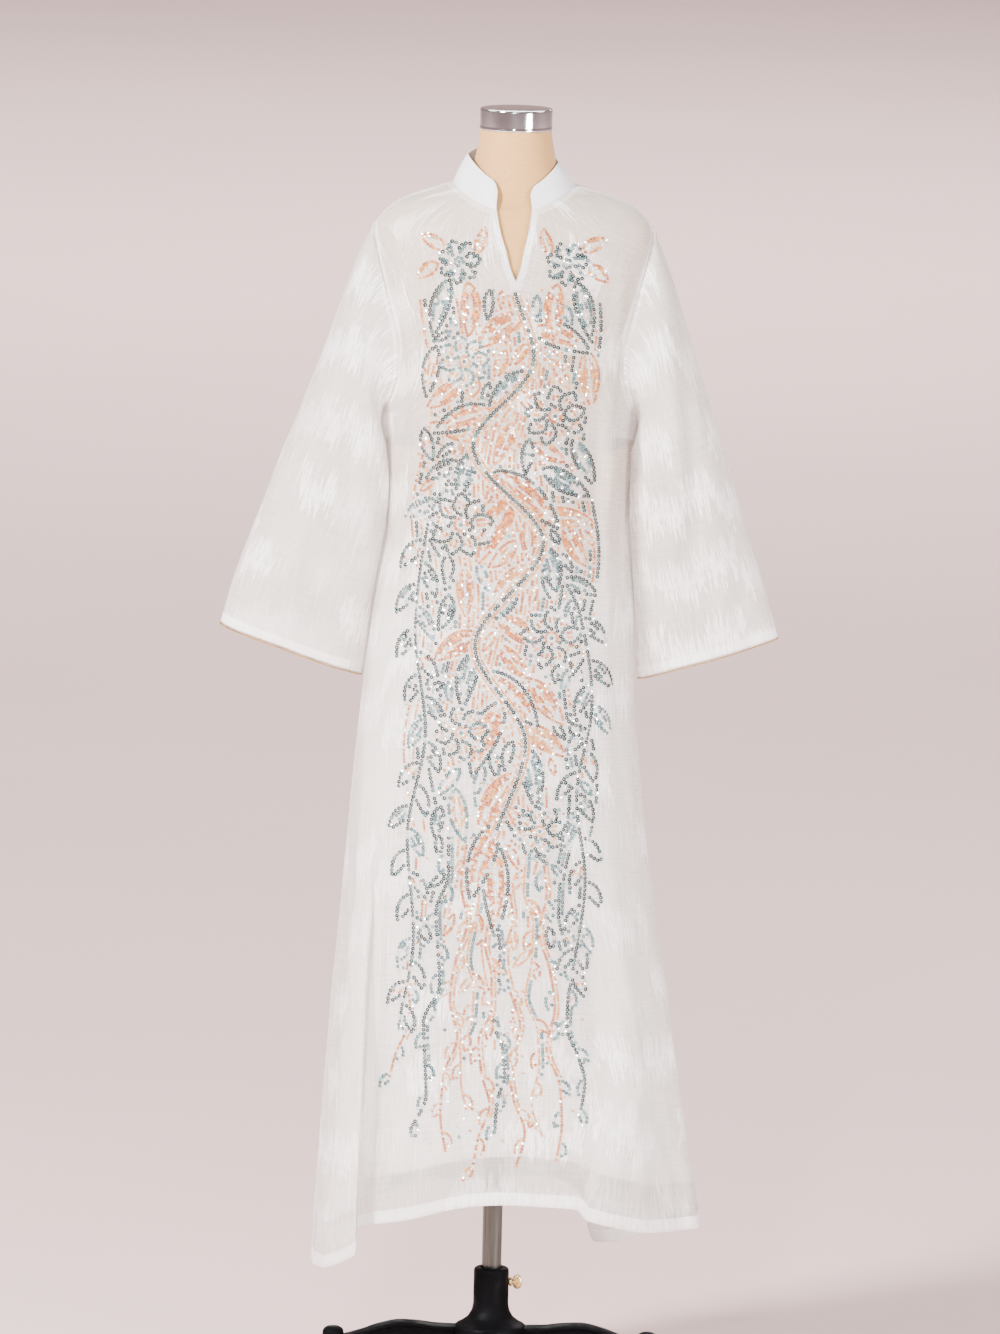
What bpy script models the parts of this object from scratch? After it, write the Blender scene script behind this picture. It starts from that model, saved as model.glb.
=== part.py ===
"""Long-sleeved abaya of sheer gauze on a limbless dress form with a cast stand.

Metres, +Z up. The front faces -Y and the origin is on the floor on the pole's axis.
Angles go round the body in degrees: 0 at the centre front, 90 at the +X side seam,
180 at the centre back and 270 (or -90) at the -X side seam.
"""

import math

import bpy
import numpy as np

# Driving dimensions
SEAM_GAP = 0.0003
CLOTH = 0.0012
COLLAR_CLOTH = 0.0016
FACING_CLOTH = 0.0008
LINING_CLOTH = 0.0010

UNDERARM_Z = 1.360
SLIT_LEVEL_Z = 1.575
TIP_Z = 1.616
NECK_Z = 1.669

ARMHOLE_STEPS = 9
ARMHOLE_CROWDING = 1.6
ARMHOLE_TOP_LEVELS = (SLIT_LEVEL_Z, 1.591, 1.607, TIP_Z)

SLIT_HALF_WIDTH = 0.024
SLIT_CURVE = 0.8
SLIT_APEX_X = 0.004
SLIT_DRIFT_FROM_Z = 1.450
FACING_WIDTH = 0.010
FACING_FOOT_SHARE = 0.7
FACING_BELOW_SLIT = 0.014
FACING_GAP = 0.0008

LINING_SHORTER = 0.065
LINING_INSET = 0.005
LINING_INSET_DEPTH = 0.120
LINING_FOLD_ROOM = 0.013
LINING_FOLD_Z = 1.050
LINING_FOLD_DEPTH = 0.450
LINING_PLAIN_Z = 1.000
LINING_PLAIN_DEPTH = 0.200

SLEEVE_CLEARANCE = 0.0045
SLEEVE_HEAD_STATIONS = 1.8
PIPING_RADIUS = 0.0009
PIPING_GAP = 0.0005
COLLAR_SWELL = 0.021

FORM_GAP = 0.0011
FORM_FRONT_GAP = 0.0030
FORM_SHOULDER_Z = 1.585
FORM_BOTTOM_Z = 0.930
FORM_BORE_TOP_Z = 1.050
CAP_BOTTOM_Z = 1.742
CAP_TOP_Z = 1.771
CAP_RADIUS = 0.0489
HUB_TOP_Z = 0.187
HUB_BOTTOM_Z = 0.077
POLE_RADIUS = 0.0135
POLE_BOTTOM_Z = 0.065
POLE_CHAMFER = 0.001
RUNNING_GAP = 0.0003
BORE_RADIUS = POLE_RADIUS + RUNNING_GAP

SCREW_Z = 0.167
SCREW_RADIUS = 0.004
SCREW_END_X = 0.0330
SCREW_COLLAR_X = 0.0262
SCREW_COLLAR_RADIUS = 0.0062
SCREW_COLLAR_LENGTH = 0.0035
SCREW_HEAD_X = 0.0355
SCREW_HEAD_HALF_SIZES = (0.0068, 0.0032, 0.0100)

ARM_WEB = 0.009
ARM_FLANGE = 0.026
FLANGE_DEPTH = 0.006
FLANGE_RAISED = 0.002
LEG_REACH = 0.214
LEG_BOTTOM_Z = 0.036

ROUND_STEPS = 32
SMALL_STEPS = 16
SHARP_ANGLE = math.radians(35.0)
# How far to look each way along the cloth to find how it lies: degrees round, metres up
ROUND_STEP = 0.8
UP_STEP = 0.003

# Body of the garment: one row for each level of its side seams, hem to neck
# side_z, left half width, right half width, front depth, front_z, back depth, back_z, squareness
BODY_ROWS = (
    (0.190, 0.247, 0.296, 0.158, 0.190, 0.160, 0.190, 2.2),
    (0.370, 0.238, 0.261, 0.152, 0.370, 0.154, 0.370, 2.2),
    (0.540, 0.227, 0.234, 0.146, 0.540, 0.148, 0.540, 2.2),
    (0.700, 0.214, 0.208, 0.141, 0.700, 0.142, 0.700, 2.2),
    (0.870, 0.201, 0.186, 0.137, 0.870, 0.135, 0.870, 2.2),
    (0.990, 0.190, 0.175, 0.134, 0.990, 0.129, 0.990, 2.2),
    (1.100, 0.180, 0.173, 0.130, 1.100, 0.121, 1.100, 2.2),
    (1.220, 0.170, 0.167, 0.127, 1.220, 0.111, 1.220, 2.2),
    (1.300, 0.172, 0.171, 0.131, 1.300, 0.108, 1.300, 2.3),
    (1.360, 0.173, 0.173, 0.135, 1.360, 0.108, 1.360, 2.3),
    (1.425, 0.177, 0.177, 0.134, 1.420, 0.112, 1.425, 2.2),
    (1.490, 0.182, 0.182, 0.124, 1.480, 0.114, 1.490, 2.1),
    (1.550, 0.187, 0.187, 0.112, 1.530, 0.108, 1.550, 2.0),
    (1.595, 0.188, 0.188, 0.102, 1.565, 0.098, 1.595, 1.9),
    (1.616, 0.183, 0.183, 0.096, 1.588, 0.088, 1.618, 1.75),
    (1.642, 0.158, 0.158, 0.089, 1.608, 0.078, 1.638, 1.7),
    (1.657, 0.121, 0.120, 0.083, 1.624, 0.068, 1.656, 1.75),
    (1.669, 0.083, 0.081, 0.077, 1.638, 0.060, 1.675, 2.0),
)

# Armhole: how far round from the side seam its edges stand at each level, in degrees
# side_z, half_angle
ARMHOLE_ROWS = (
    (1.360, 0.0),
    (1.366, 13.0),
    (1.377, 21.5),
    (1.393, 28.0),
    (1.420, 33.0),
    (1.460, 34.0),
    (1.500, 30.0),
    (1.550, 22.0),
    (1.575, 15.5),
    (1.595, 9.5),
    (1.616, 0.0),
)

# Hem: height of the garment's lower edge round the body
# angle, height
HEM_ROWS = (
    (-180.0, 0.283),
    (-150.0, 0.262),
    (-132.0, 0.240),
    (-112.0, 0.212),
    (-90.0, 0.195),
    (-72.0, 0.199),
    (-56.0, 0.222),
    (-51.0, 0.232),
    (-46.5, 0.259),
    (-26.0, 0.278),
    (-5.0, 0.299),
    (4.0, 0.3025),
    (13.0, 0.301),
    (21.5, 0.298),
    (24.5, 0.289),
    (32.0, 0.278),
    (49.0, 0.262),
    (64.0, 0.259),
    (90.0, 0.259),
    (105.0, 0.252),
    (120.0, 0.234),
    (134.0, 0.218),
    (146.0, 0.199),
    (154.5, 0.1945),
    (158.5, 0.262),
    (168.0, 0.279),
    (180.0, 0.283),
)

# Folds: each moves the cloth by (out_x, out_y) at its peak and fades to nothing at its two ends,
# below low_none and above high_none; lean turns it round the body, in degrees a metre above the hem
# start, peak, end, lean, low_none, low_full, high_full, high_none, out_x, out_y
FOLD_ROWS = (
    (-45.5, -51.0, -99.0, -10.0, -2.0, -1.0, 0.300, 0.930, 0.010, -0.052),
    (21.6, 25.0, 64.0, 80.0, -2.0, -1.0, 0.290, 0.440, 0.000, -0.024),
    (-24.0, -4.0, 19.0, 0.0, -2.0, -1.0, 0.450, 1.050, 0.000, 0.012),
    (38.0, 50.0, 58.0, 0.0, 0.820, 1.050, 1.350, 1.450, 0.002, -0.010),
    (55.0, 67.0, 84.0, 0.0, 0.950, 1.130, 1.300, 1.400, -0.005, 0.004),
    (62.0, 76.0, 90.0, -6.0, -2.0, -1.0, 0.400, 0.950, 0.004, -0.012),
    (110.0, 128.0, 147.0, 5.0, -2.0, -1.0, 0.350, 1.000, 0.012, 0.026),
    (147.0, 164.0, 181.0, 3.0, -2.0, -1.0, 0.350, 1.150, 0.006, 0.024),
    (184.0, 201.0, 218.0, -3.0, -2.0, -1.0, 0.350, 1.100, -0.006, 0.026),
    (219.0, 235.0, 252.0, -5.0, -2.0, -1.0, 0.350, 0.950, -0.014, 0.022),
)

# Columns of the two panels, close together where a fold turns sharply
FRONT_COLUMNS = (
    -90.0, -82.0, -74.0, -66.0, -59.0, -54.0, -51.0, -48.5, -46.0, -42.0, -35.0, -27.0, -19.0,
    -10.0, 0.0, 9.0, 17.0, 21.7, 23.5, 25.5, 30.0, 36.0, 43.0, 49.0, 55.0, 61.0, 68.0, 75.0,
    82.0, 90.0,
)
BACK_COLUMNS = (
    90.0, 98.0, 106.0, 114.0, 121.0, 128.0, 136.0, 146.0, 154.5, 158.5, 166.0, 174.0, 182.0,
    191.0, 201.0, 210.0, 219.0, 227.0, 235.0, 244.0, 253.0, 262.0, 270.0,
)

# Columns that follow a leaning fold: those from full_from to full_to go with it, and their
# neighbours out to first and last give way; above until they come back, and above back not at all
# first, full_from, full_to, last, lean, until, back
COLUMN_LEANS = (
    (-80.0, -56.0, -44.0, -10.0, -10.0, 0.930, 1.300),
    (9.0, 21.7, 25.5, 61.0, 80.0, 0.440, 0.850),
)

# Share of the way from hem to underarm of each row of the skirt
LINING_TOP_SHARE = 0.965
SKIRT_SHARES = (
    0.0, 0.025, 0.09, 0.17, 0.26, 0.36, 0.47, 0.58, 0.69, 0.79, 0.88, LINING_TOP_SHARE,
)

# Rows of the lining as shares of its height, and its columns, each also a column of a panel
LINING_SHARES = (0.0, 0.14, 0.32, 0.52, 0.72, 0.88, 1.0)
LINING_COLUMNS = (
    -90.0, -74.0, -59.0, -46.0, -27.0, -10.0, 9.0, 23.5, 36.0, 43.0, 49.0, 55.0, 61.0, 68.0, 75.0,
    82.0, 90.0, 106.0, 121.0, 136.0, 154.5, 174.0, 191.0, 210.0, 227.0, 244.0, 262.0,
)

# Levels of the rows from the shoulder tip to the neck
YOKE_LEVELS = (1.630, 1.644, 1.657, NECK_Z)

# Sleeves, one row for each station from armhole (0) to cuff
# station, outer_x, outer_z, inner_x, inner_z, front_depth, back_depth, squareness
LEFT_SLEEVE_ROWS = (
    (0.0, 0.185, 1.615, 0.173, 1.360, 0.066, 0.062, 2.0),
    (1.0, 0.206, 1.578, 0.176, 1.335, 0.074, 0.066, 2.1),
    (2.0, 0.233, 1.495, 0.158, 1.300, 0.084, 0.070, 2.4),
    (3.0, 0.272, 1.385, 0.148, 1.255, 0.086, 0.070, 2.6),
    (4.0, 0.304, 1.303, 0.153, 1.205, 0.080, 0.064, 2.6),
    (5.0, 0.334, 1.220, 0.163, 1.147, 0.068, 0.054, 2.5),
    (6.0, 0.364, 1.137, 0.178, 1.072, 0.052, 0.042, 2.4),
    (7.0, 0.384, 1.066, 0.193, 1.001, 0.036, 0.030, 2.3),
)
RIGHT_SLEEVE_ROWS = (
    (0.0, 0.185, 1.615, 0.173, 1.360, 0.066, 0.062, 2.0),
    (1.0, 0.204, 1.573, 0.176, 1.335, 0.074, 0.066, 2.1),
    (2.0, 0.230, 1.495, 0.160, 1.300, 0.082, 0.070, 2.4),
    (3.0, 0.262, 1.395, 0.160, 1.255, 0.082, 0.070, 2.6),
    (4.0, 0.292, 1.302, 0.162, 1.205, 0.076, 0.064, 2.6),
    (5.0, 0.320, 1.210, 0.165, 1.147, 0.064, 0.054, 2.5),
    (6.0, 0.347, 1.130, 0.172, 1.068, 0.050, 0.042, 2.4),
    (7.0, 0.367, 1.062, 0.181, 1.004, 0.036, 0.030, 2.3),
)
SLEEVE_STATIONS = (0.0, 0.3, 0.65, 1.05, 1.5, 2.0, 2.5, 3.1, 3.7, 4.4, 5.1, 5.8, 6.5, 7.0)

# Dress form below the shoulders and above them
# height, half_width, front_depth, back_depth, squareness
FORM_TRUNK_ROWS = (
    (0.930, 0.150, 0.108, 0.108, 2.2),
    (0.980, 0.157, 0.115, 0.113, 2.2),
    (1.040, 0.158, 0.117, 0.112, 2.2),
    (1.110, 0.146, 0.110, 0.102, 2.1),
    (1.220, 0.118, 0.096, 0.084, 2.0),
    (1.310, 0.132, 0.108, 0.088, 2.1),
    (1.400, 0.148, 0.123, 0.098, 2.1),
    (1.480, 0.155, 0.113, 0.104, 2.1),
    (1.550, 0.165, 0.099, 0.100, 2.0),
)
# half_width, side_z, front_depth, front_z, back_depth, back_z
FORM_NECK_ROWS = (
    (0.0660, 1.677, 0.0620, 1.650, 0.0535, 1.683),
    (0.0585, 1.688, 0.0545, 1.671, 0.0505, 1.694),
    (0.0540, 1.704, 0.0515, 1.694, 0.0495, 1.708),
    (0.0505, 1.721, 0.0495, 1.718, 0.0485, 1.723),
    (0.0475, 1.7417, 0.0475, 1.7417, 0.0475, 1.7417),
)

# Collar's upper edge: half_width, side_z, depth and z at the front and at the back
COLLAR_TOP_LEFT = (0.0645, 1.709, 0.0600, 1.671, 0.0520, 1.721)
COLLAR_TOP_RIGHT = (0.0580, 1.700, 0.0600, 1.665, 0.0520, 1.721)
COLLAR_END_TURN = 2.5
# Rounded front corners: distance from the end of the collar, share of its height
COLLAR_CORNER = ((0.000, 0.66), (0.004, 0.86), (0.009, 0.97), (0.014, 1.0))

# Stand: profiles of the hub, a leg and a glide, running down their outer sides
# radius, height
HUB_PROFILE = (
    (0.0212, HUB_TOP_Z), (0.0240, HUB_TOP_Z - 0.0028), (0.0240, 0.136), (0.0258, 0.127),
    (0.0310, 0.118), (0.0400, 0.111), (0.0480, 0.107), (0.0480, 0.092), (0.0400, 0.083),
    (0.0280, HUB_BOTTOM_Z), (BORE_RADIUS, HUB_BOTTOM_Z), (BORE_RADIUS, HUB_TOP_Z),
)
LEG_PROFILE = (
    (0.0, 0.1010), (0.0080, 0.1000), (0.0125, 0.0975), (0.0145, 0.0935),
    (0.0145, LEG_BOTTOM_Z + 0.003), (0.0125, LEG_BOTTOM_Z), (0.0, LEG_BOTTOM_Z),
)
GLIDE_PROFILE = (
    (0.0, LEG_BOTTOM_Z - SEAM_GAP), (0.0110, LEG_BOTTOM_Z - SEAM_GAP), (0.0110, 0.0150),
    (0.0205, 0.0110), (0.0205, 0.0015), (0.0190, 0.0), (0.0, 0.0),
)
# Upper edge of an arm, from the hub out, and lower edge of its web, from the leg back to the hub
# reach, height
ARM_TOP = (
    (0.020, 0.108), (0.048, 0.104), (0.072, 0.1045), (0.098, 0.1075), (0.122, 0.1085),
    (0.150, 0.1030), (0.178, 0.0930), (0.206, 0.0850),
)
ARM_BOTTOM = (
    (0.206, 0.064), (0.180, 0.066), (0.150, 0.074), (0.115, 0.079), (0.070, 0.078), (0.020, 0.082),
)


def smooth_table(rows):
    """Give a function that reads all columns of a table at any value of its first column."""
    table = np.array(rows, float)
    keys, values = table[:, 0], table[:, 1:]
    slopes = np.diff(values, axis=0) / np.diff(keys)[:, None]
    tangents = np.vstack([slopes[:1], slopes[1:], slopes[-1:]])
    before, after = slopes[:-1], slopes[1:]
    steady = before * after > 0
    middle = np.zeros_like(before)
    middle[steady] = 2 * before[steady] * after[steady] / (before + after)[steady]
    tangents[1:-1] = middle

    def read(key):
        i = int(np.clip(np.searchsorted(keys, key) - 1, 0, len(keys) - 2))
        width = keys[i + 1] - keys[i]
        t = min(max((key - keys[i]) / width, 0.0), 1.0)
        near = (1 + 2 * t) * (1 - t) ** 2 * values[i] + t * (1 - t) ** 2 * width * tangents[i]
        far = t * t * (3 - 2 * t) * values[i + 1] - t * t * (1 - t) * width * tangents[i + 1]
        return near + far

    return read


body_row = smooth_table(BODY_ROWS)
armhole_row = smooth_table(ARMHOLE_ROWS)
hem_row = smooth_table(HEM_ROWS)
form_trunk_row = smooth_table(FORM_TRUNK_ROWS)


def ease(share):
    """Go from 0 to 1 with level ends."""
    share = min(max(share, 0.0), 1.0)
    return share * share * (3 - 2 * share)


def unit(vector):
    return vector / np.linalg.norm(vector)


def signed_power(value, power):
    return math.copysign(abs(value) ** power, value)


def wrapped(angle):
    """Bring an angle in degrees between -180 and 180."""
    return (angle + 180.0) % 360.0 - 180.0


def hem_height(angle):
    return float(hem_row(wrapped(angle))[0])


def armhole_half_angle(side_z):
    if UNDERARM_Z < side_z < TIP_Z:
        return float(armhole_row(side_z)[0])
    return 0.0


def fold_shift(angle, height):
    """Add up what the folds do to the cloth at one place."""
    shift = np.zeros(3)
    for start, peak, end, lean, low_none, low_full, high_full, high_none, out_x, out_y in FOLD_ROWS:
        turned = angle - lean * (height - hem_height(peak))
        turned = start + wrapped(turned - start)
        rising = (turned - start) / (peak - start)
        falling = (end - turned) / (end - peak)
        across = ease(rising) * ease(falling)
        up = ease((height - low_none) / (low_full - low_none))
        down = ease((high_none - height) / (high_none - high_full))
        shift += across * up * down * np.array([out_x, out_y, 0.0])
    return shift


def body_point(angle, side_z, folded=1.0):
    """Give the outer face of the garment's body at an angle and a level of the side seam."""
    left, right, front, front_z, back, back_z, squareness = body_row(side_z)
    sine, cosine = math.sin(math.radians(angle)), math.cos(math.radians(angle))
    width = right if sine > 0 else left
    depth, middle_z = (front, front_z) if cosine > 0 else (back, back_z)
    x = width * signed_power(sine, 2 / squareness)
    y = -depth * signed_power(cosine, 2 / squareness)
    z = side_z + (middle_z - side_z) * cosine * cosine
    return np.array([x, y, z]) + folded * fold_shift(angle, z)


def body_round(angle, side_z, folded=1.0):
    """Give the direction that goes round the body there, towards larger angles."""
    after = body_point(angle + ROUND_STEP, side_z, folded)
    return unit(after - body_point(angle - ROUND_STEP, side_z, folded))


def body_up(angle, side_z, folded=1.0):
    """Give the direction that goes up the cloth there."""
    high = min(side_z + UP_STEP, NECK_Z)
    return unit(body_point(angle, high, folded) - body_point(angle, high - 2 * UP_STEP, folded))


def body_normal(angle, side_z, folded=1.0):
    return unit(np.cross(body_round(angle, side_z, folded), body_up(angle, side_z, folded)))


def angle_at_x(x, side_z):
    """Give the angle near the front where the body's face has this x."""
    left, right, *_, squareness = body_row(side_z)
    share = x / (right if x > 0 else left)
    return math.degrees(math.asin(signed_power(share, squareness / 2)))


def cloth_pair(angle, side_z, nudge=0.0, sunk=0.0, thickness=CLOTH):
    """Give a point of a panel's outer face and its partner on the inner face.

    nudge moves both round the body, and sunk moves both below the garment's outer face.
    """
    normal = body_normal(angle, side_z)
    point = body_point(angle, side_z) + nudge * body_round(angle, side_z) - sunk * normal
    return point, point - thickness * normal


class Shell:
    """A wall of cloth: pairs of outer and inner points, and the faces between rows of them."""

    def __init__(self):
        self.pairs = []
        self.faces = []

    def row(self, pairs):
        first = len(self.pairs)
        self.pairs.extend(pairs)
        return list(range(first, first + len(pairs)))

    def join(self, low, high, closed=False):
        """Put faces between two rows, seen from outside with low below high and going right."""
        count = len(low) if closed else len(low) - 1
        for i in range(count):
            j = (i + 1) % len(low)
            self.faces.append((low[i], low[j], high[j], high[i]))

    def build(self, name, material):
        count = len(self.pairs)
        points = [p for p, _ in self.pairs] + [q for _, q in self.pairs]
        inner = [tuple(count + i for i in reversed(face)) for face in self.faces]
        edges = {}
        for face in self.faces:
            for a, b in zip(face, face[1:] + face[:1]):
                edges[(a, b)] = True
        rims = [(b, a, count + a, count + b) for a, b in edges if (b, a) not in edges]
        return mesh_object(name, points, self.faces + inner + rims, material)


def mesh_object(name, points, faces, material):
    mesh = bpy.data.meshes.new(name)
    mesh.from_pydata([tuple(map(float, p)) for p in points], [], faces)
    mesh.validate()
    mesh.update()
    shade_round(mesh)
    return add_object(name, mesh, material)


def shade_round(mesh):
    mesh.shade_smooth()
    mesh.set_sharp_from_angle(angle=SHARP_ANGLE)


def add_object(name, data, material):
    thing = bpy.data.objects.new(name, data)
    if material:
        data.materials.append(material)
    abaya_collection.objects.link(thing)
    return thing


def finish(name, colour, roughness, metallic=0.0):
    """Make one sub-part's material."""
    material = bpy.data.materials.new(name)
    material.use_nodes = True
    shader = material.node_tree.nodes["Principled BSDF"]
    shader.inputs["Base Color"].default_value = (*colour, 1.0)
    shader.inputs["Roughness"].default_value = roughness
    shader.inputs["Metallic"].default_value = metallic
    return material


def armhole_levels():
    """List the levels of the armhole's rows, underarm first and shoulder tip last."""
    rise = SLIT_LEVEL_Z - UNDERARM_Z
    shares = [(k / ARMHOLE_STEPS) ** ARMHOLE_CROWDING for k in range(ARMHOLE_STEPS)]
    return [UNDERARM_Z + rise * share for share in shares] + list(ARMHOLE_TOP_LEVELS)


def slit_half_width(side_z):
    """Give half the width of the front opening at a level, from nothing at its foot."""
    share = (side_z - SLIT_LEVEL_Z) / (NECK_Z - SLIT_LEVEL_Z)
    return SLIT_HALF_WIDTH * max(share, 0.0) ** SLIT_CURVE


def centre_x(side_z):
    """Give the x of the middle of the front opening, and of the cloth just below it."""
    if side_z >= SLIT_LEVEL_Z:
        share = (side_z - SLIT_LEVEL_Z) / (NECK_Z - SLIT_LEVEL_Z)
        return SLIT_APEX_X * (1 - share)
    drift = (side_z - SLIT_DRIFT_FROM_Z) / (SLIT_LEVEL_Z - SLIT_DRIFT_FROM_Z)
    return SLIT_APEX_X * ease(drift)


def slit_edge_angles(side_z):
    """Give the angles of the opening's two edges at a level, equal below its foot."""
    middle, half = centre_x(side_z), slit_half_width(side_z)
    return angle_at_x(middle - half, side_z), angle_at_x(middle + half, side_z)


def panel_angles(column, side_z):
    """Give where a column of the front panel lies at a level of the side seam."""
    left_edge, right_edge = slit_edge_angles(side_z)
    reach = 90.0 - armhole_half_angle(side_z)
    share = abs(column) / 90.0
    if column < 0:
        return left_edge - share * (reach + left_edge)
    return right_edge + share * (reach - right_edge)


def seam_nudge(edge, side_z, inward):
    """Give the half gap that a panel keeps where it meets its neighbour at a side seam."""
    return inward * SEAM_GAP / 2 if edge and armhole_half_angle(side_z) == 0.0 else 0.0


def skirt_level(angle, share):
    low = hem_height(angle)
    return low + (UNDERARM_Z - low) * share


def leaned(column, height):
    """Give a front column's angle in the skirt, where the columns go with the leaning folds."""
    angle = column
    rise = max(height - hem_height(column), 0.0)
    for first, full_from, full_to, last, lean, until, back in COLUMN_LEANS:
        near = ease((column - first) / (full_from - first)) * ease((last - column) / (last - full_to))
        held = ease((back - height) / (back - until))
        angle += lean * min(rise, until - hem_height(column)) * near * held
    return angle


def front_pair(column, side_z):
    angle = panel_angles(column, side_z)
    if side_z < UNDERARM_Z:
        angle = leaned(column, side_z)
    inward = -1 if column > 0 else 1
    return cloth_pair(angle, side_z, seam_nudge(abs(column) == 90.0, side_z, inward))


def back_pair(column, side_z):
    """Place a column of the back panel; the armholes narrow the panel's reach."""
    reach = 90.0 - armhole_half_angle(side_z)
    angle = 180.0 + (column - 180.0) / 90.0 * reach
    inward = 1 if column < 180.0 else -1
    return cloth_pair(angle, side_z, seam_nudge(column in (90.0, 270.0), side_z, inward))


def upper_levels():
    return armhole_levels() + list(YOKE_LEVELS)


def build_front(material):
    """Cut the front: one panel from hem to neck, with the slit at its top."""
    shell = Shell()
    left_columns = [c for c in FRONT_COLUMNS if c < 0]
    right_columns = [c for c in FRONT_COLUMNS if c > 0]
    rows = []
    for share in SKIRT_SHARES:
        left = shell.row([front_pair(c, skirt_level(c, share)) for c in left_columns])
        middle = shell.row([front_pair(0.0, skirt_level(0.0, share))])
        right = shell.row([front_pair(c, skirt_level(c, share)) for c in right_columns])
        rows.append((left + middle, middle + right))
    for side_z in upper_levels():
        left = shell.row([front_pair(c, side_z) for c in left_columns])
        left_edge, right_edge = slit_edge_angles(side_z)
        middle_left = shell.row([cloth_pair(left_edge, side_z)])
        middle_right = middle_left
        if side_z > SLIT_LEVEL_Z + 1e-6:
            middle_right = shell.row([cloth_pair(right_edge, side_z)])
        right = shell.row([front_pair(c, side_z) for c in right_columns])
        rows.append((left + middle_left, middle_right + right))
    for low, high in zip(rows, rows[1:]):
        shell.join(low[0], high[0])
        shell.join(low[1], high[1])
    return shell.build("front", material)


def build_back(material):
    """Cut the back: one panel from hem to neck."""
    shell = Shell()
    rows = [
        shell.row([back_pair(c, skirt_level(c, share)) for c in BACK_COLUMNS])
        for share in SKIRT_SHARES
    ]
    rows += [shell.row([back_pair(c, z) for c in BACK_COLUMNS]) for z in upper_levels()]
    for low, high in zip(rows, rows[1:]):
        shell.join(low, high)
    return shell.build("back", material)


def sleeve_loop(side):
    """List the armhole's places as (angle, level), from the tip down one edge and up the other.

    side is 1 at +X and -1 at -X. The order makes the sleeve's faces look outwards.
    """
    levels = armhole_levels()[::-1]
    down = [(90.0 - armhole_half_angle(z), z) for z in levels]
    up = [(90.0 + armhole_half_angle(z), z) for z in levels[-2:0:-1]]
    if side < 0:
        down = [(-90.0 - armhole_half_angle(z), z) for z in levels]
        up = [(-90.0 + armhole_half_angle(z), z) for z in levels[-2:0:-1]]
    return down + up


def ring_turn(side_z, going_down, side):
    """Give the place round the sleeve of a level of the armhole, in radians: front at 90 degrees."""
    share = (side_z - UNDERARM_Z) / (TIP_Z - UNDERARM_Z)
    turn = math.acos(min(max(2 * share - 1, -1.0), 1.0))
    front = going_down if side > 0 else not going_down
    return turn if front else -turn


def sleeve_ring_point(row, turn, side):
    outer_x, outer_z, inner_x, inner_z, front, back, squareness = row
    along = signed_power(math.cos(turn), 2 / squareness)
    across = signed_power(math.sin(turn), 2 / squareness)
    depth = front if across > 0 else back
    x = (outer_x + inner_x) / 2 + (outer_x - inner_x) / 2 * along
    z = (outer_z + inner_z) / 2 + (outer_z - inner_z) / 2 * along
    return np.array([side * x, -depth * across, z])


def clear_of_body(point, clearance):
    """Move a point out, level, until it is clear of the body's outer face."""
    x, y, z = point
    left, right, front, _, back, _, squareness = body_row(z)
    width = right if x > 0 else left
    depth = front if y < 0 else back
    across = (abs(x) / width) ** (squareness / 2)
    along = (abs(y) / depth) ** (squareness / 2)
    angle = math.degrees(math.atan2(math.copysign(across, x), math.copysign(along, -y)))
    face = body_point(angle, z)
    wanted = math.hypot(face[0], face[1]) + clearance
    have = math.hypot(x, y)
    scale = max(wanted / have, 1.0)
    return np.array([x * scale, y * scale, z])


def grid_normals(grid):
    """Give the normals of a tube's grid of points, stations by places round."""
    down = np.gradient(grid, axis=0)
    round_ = np.roll(grid, -1, axis=1) - np.roll(grid, 1, axis=1)
    normals = np.cross(round_, down)
    return normals / np.linalg.norm(normals, axis=2, keepdims=True)


def build_sleeve(name, side, table, material):
    """Cut a sleeve: a flared tube from the armhole's seam to the open cuff."""
    station_row = smooth_table(table)
    loop = sleeve_loop(side)
    edge = np.array([body_point(angle, z) for angle, z in loop])
    low_at = len(armhole_levels()) - 1
    turns = [ring_turn(z, i <= low_at, side) for i, (_, z) in enumerate(loop)]
    grid = [edge]
    for station in SLEEVE_STATIONS[1:]:
        ring = [sleeve_ring_point(station_row(station), turn, side) for turn in turns]
        share = ease(station / SLEEVE_HEAD_STATIONS)
        mixed = edge * (1 - share) + np.array(ring) * share
        clearance = SLEEVE_CLEARANCE * min(1.0, 0.5 + station / 2)
        grid.append(np.array([clear_of_body(p, clearance) for p in mixed]))
    grid = np.array(grid)
    normals = grid_normals(grid)
    inner = grid - CLOTH * normals
    middle = edge.mean(axis=0)
    for i, (angle, z) in enumerate(loop):
        out = body_normal(angle, z)
        tangent = unit(edge[(i + 1) % len(loop)] - edge[i - 1])
        into = np.cross(out, tangent)
        into *= math.copysign(1.0, float(np.dot(into, middle - edge[i])))
        way = grid[1][i] - edge[i]
        lift = math.atan2(max(float(np.dot(way, out)), 0.0), float(np.dot(way, into)))
        away = into * math.cos(lift / 2) + out * math.sin(lift / 2)
        grid[0][i] = edge[i] + SEAM_GAP * away
        inner[0][i] = grid[0][i] + CLOTH * (into * math.sin(lift) - out * math.cos(lift))
    shell = Shell()
    rows = [shell.row(list(zip(a, b))) for a, b in zip(grid, inner)]
    for high, low in zip(rows, rows[1:]):
        shell.join(high, low, closed=True)
    shell.build(name, material)
    return grid, inner


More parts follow.
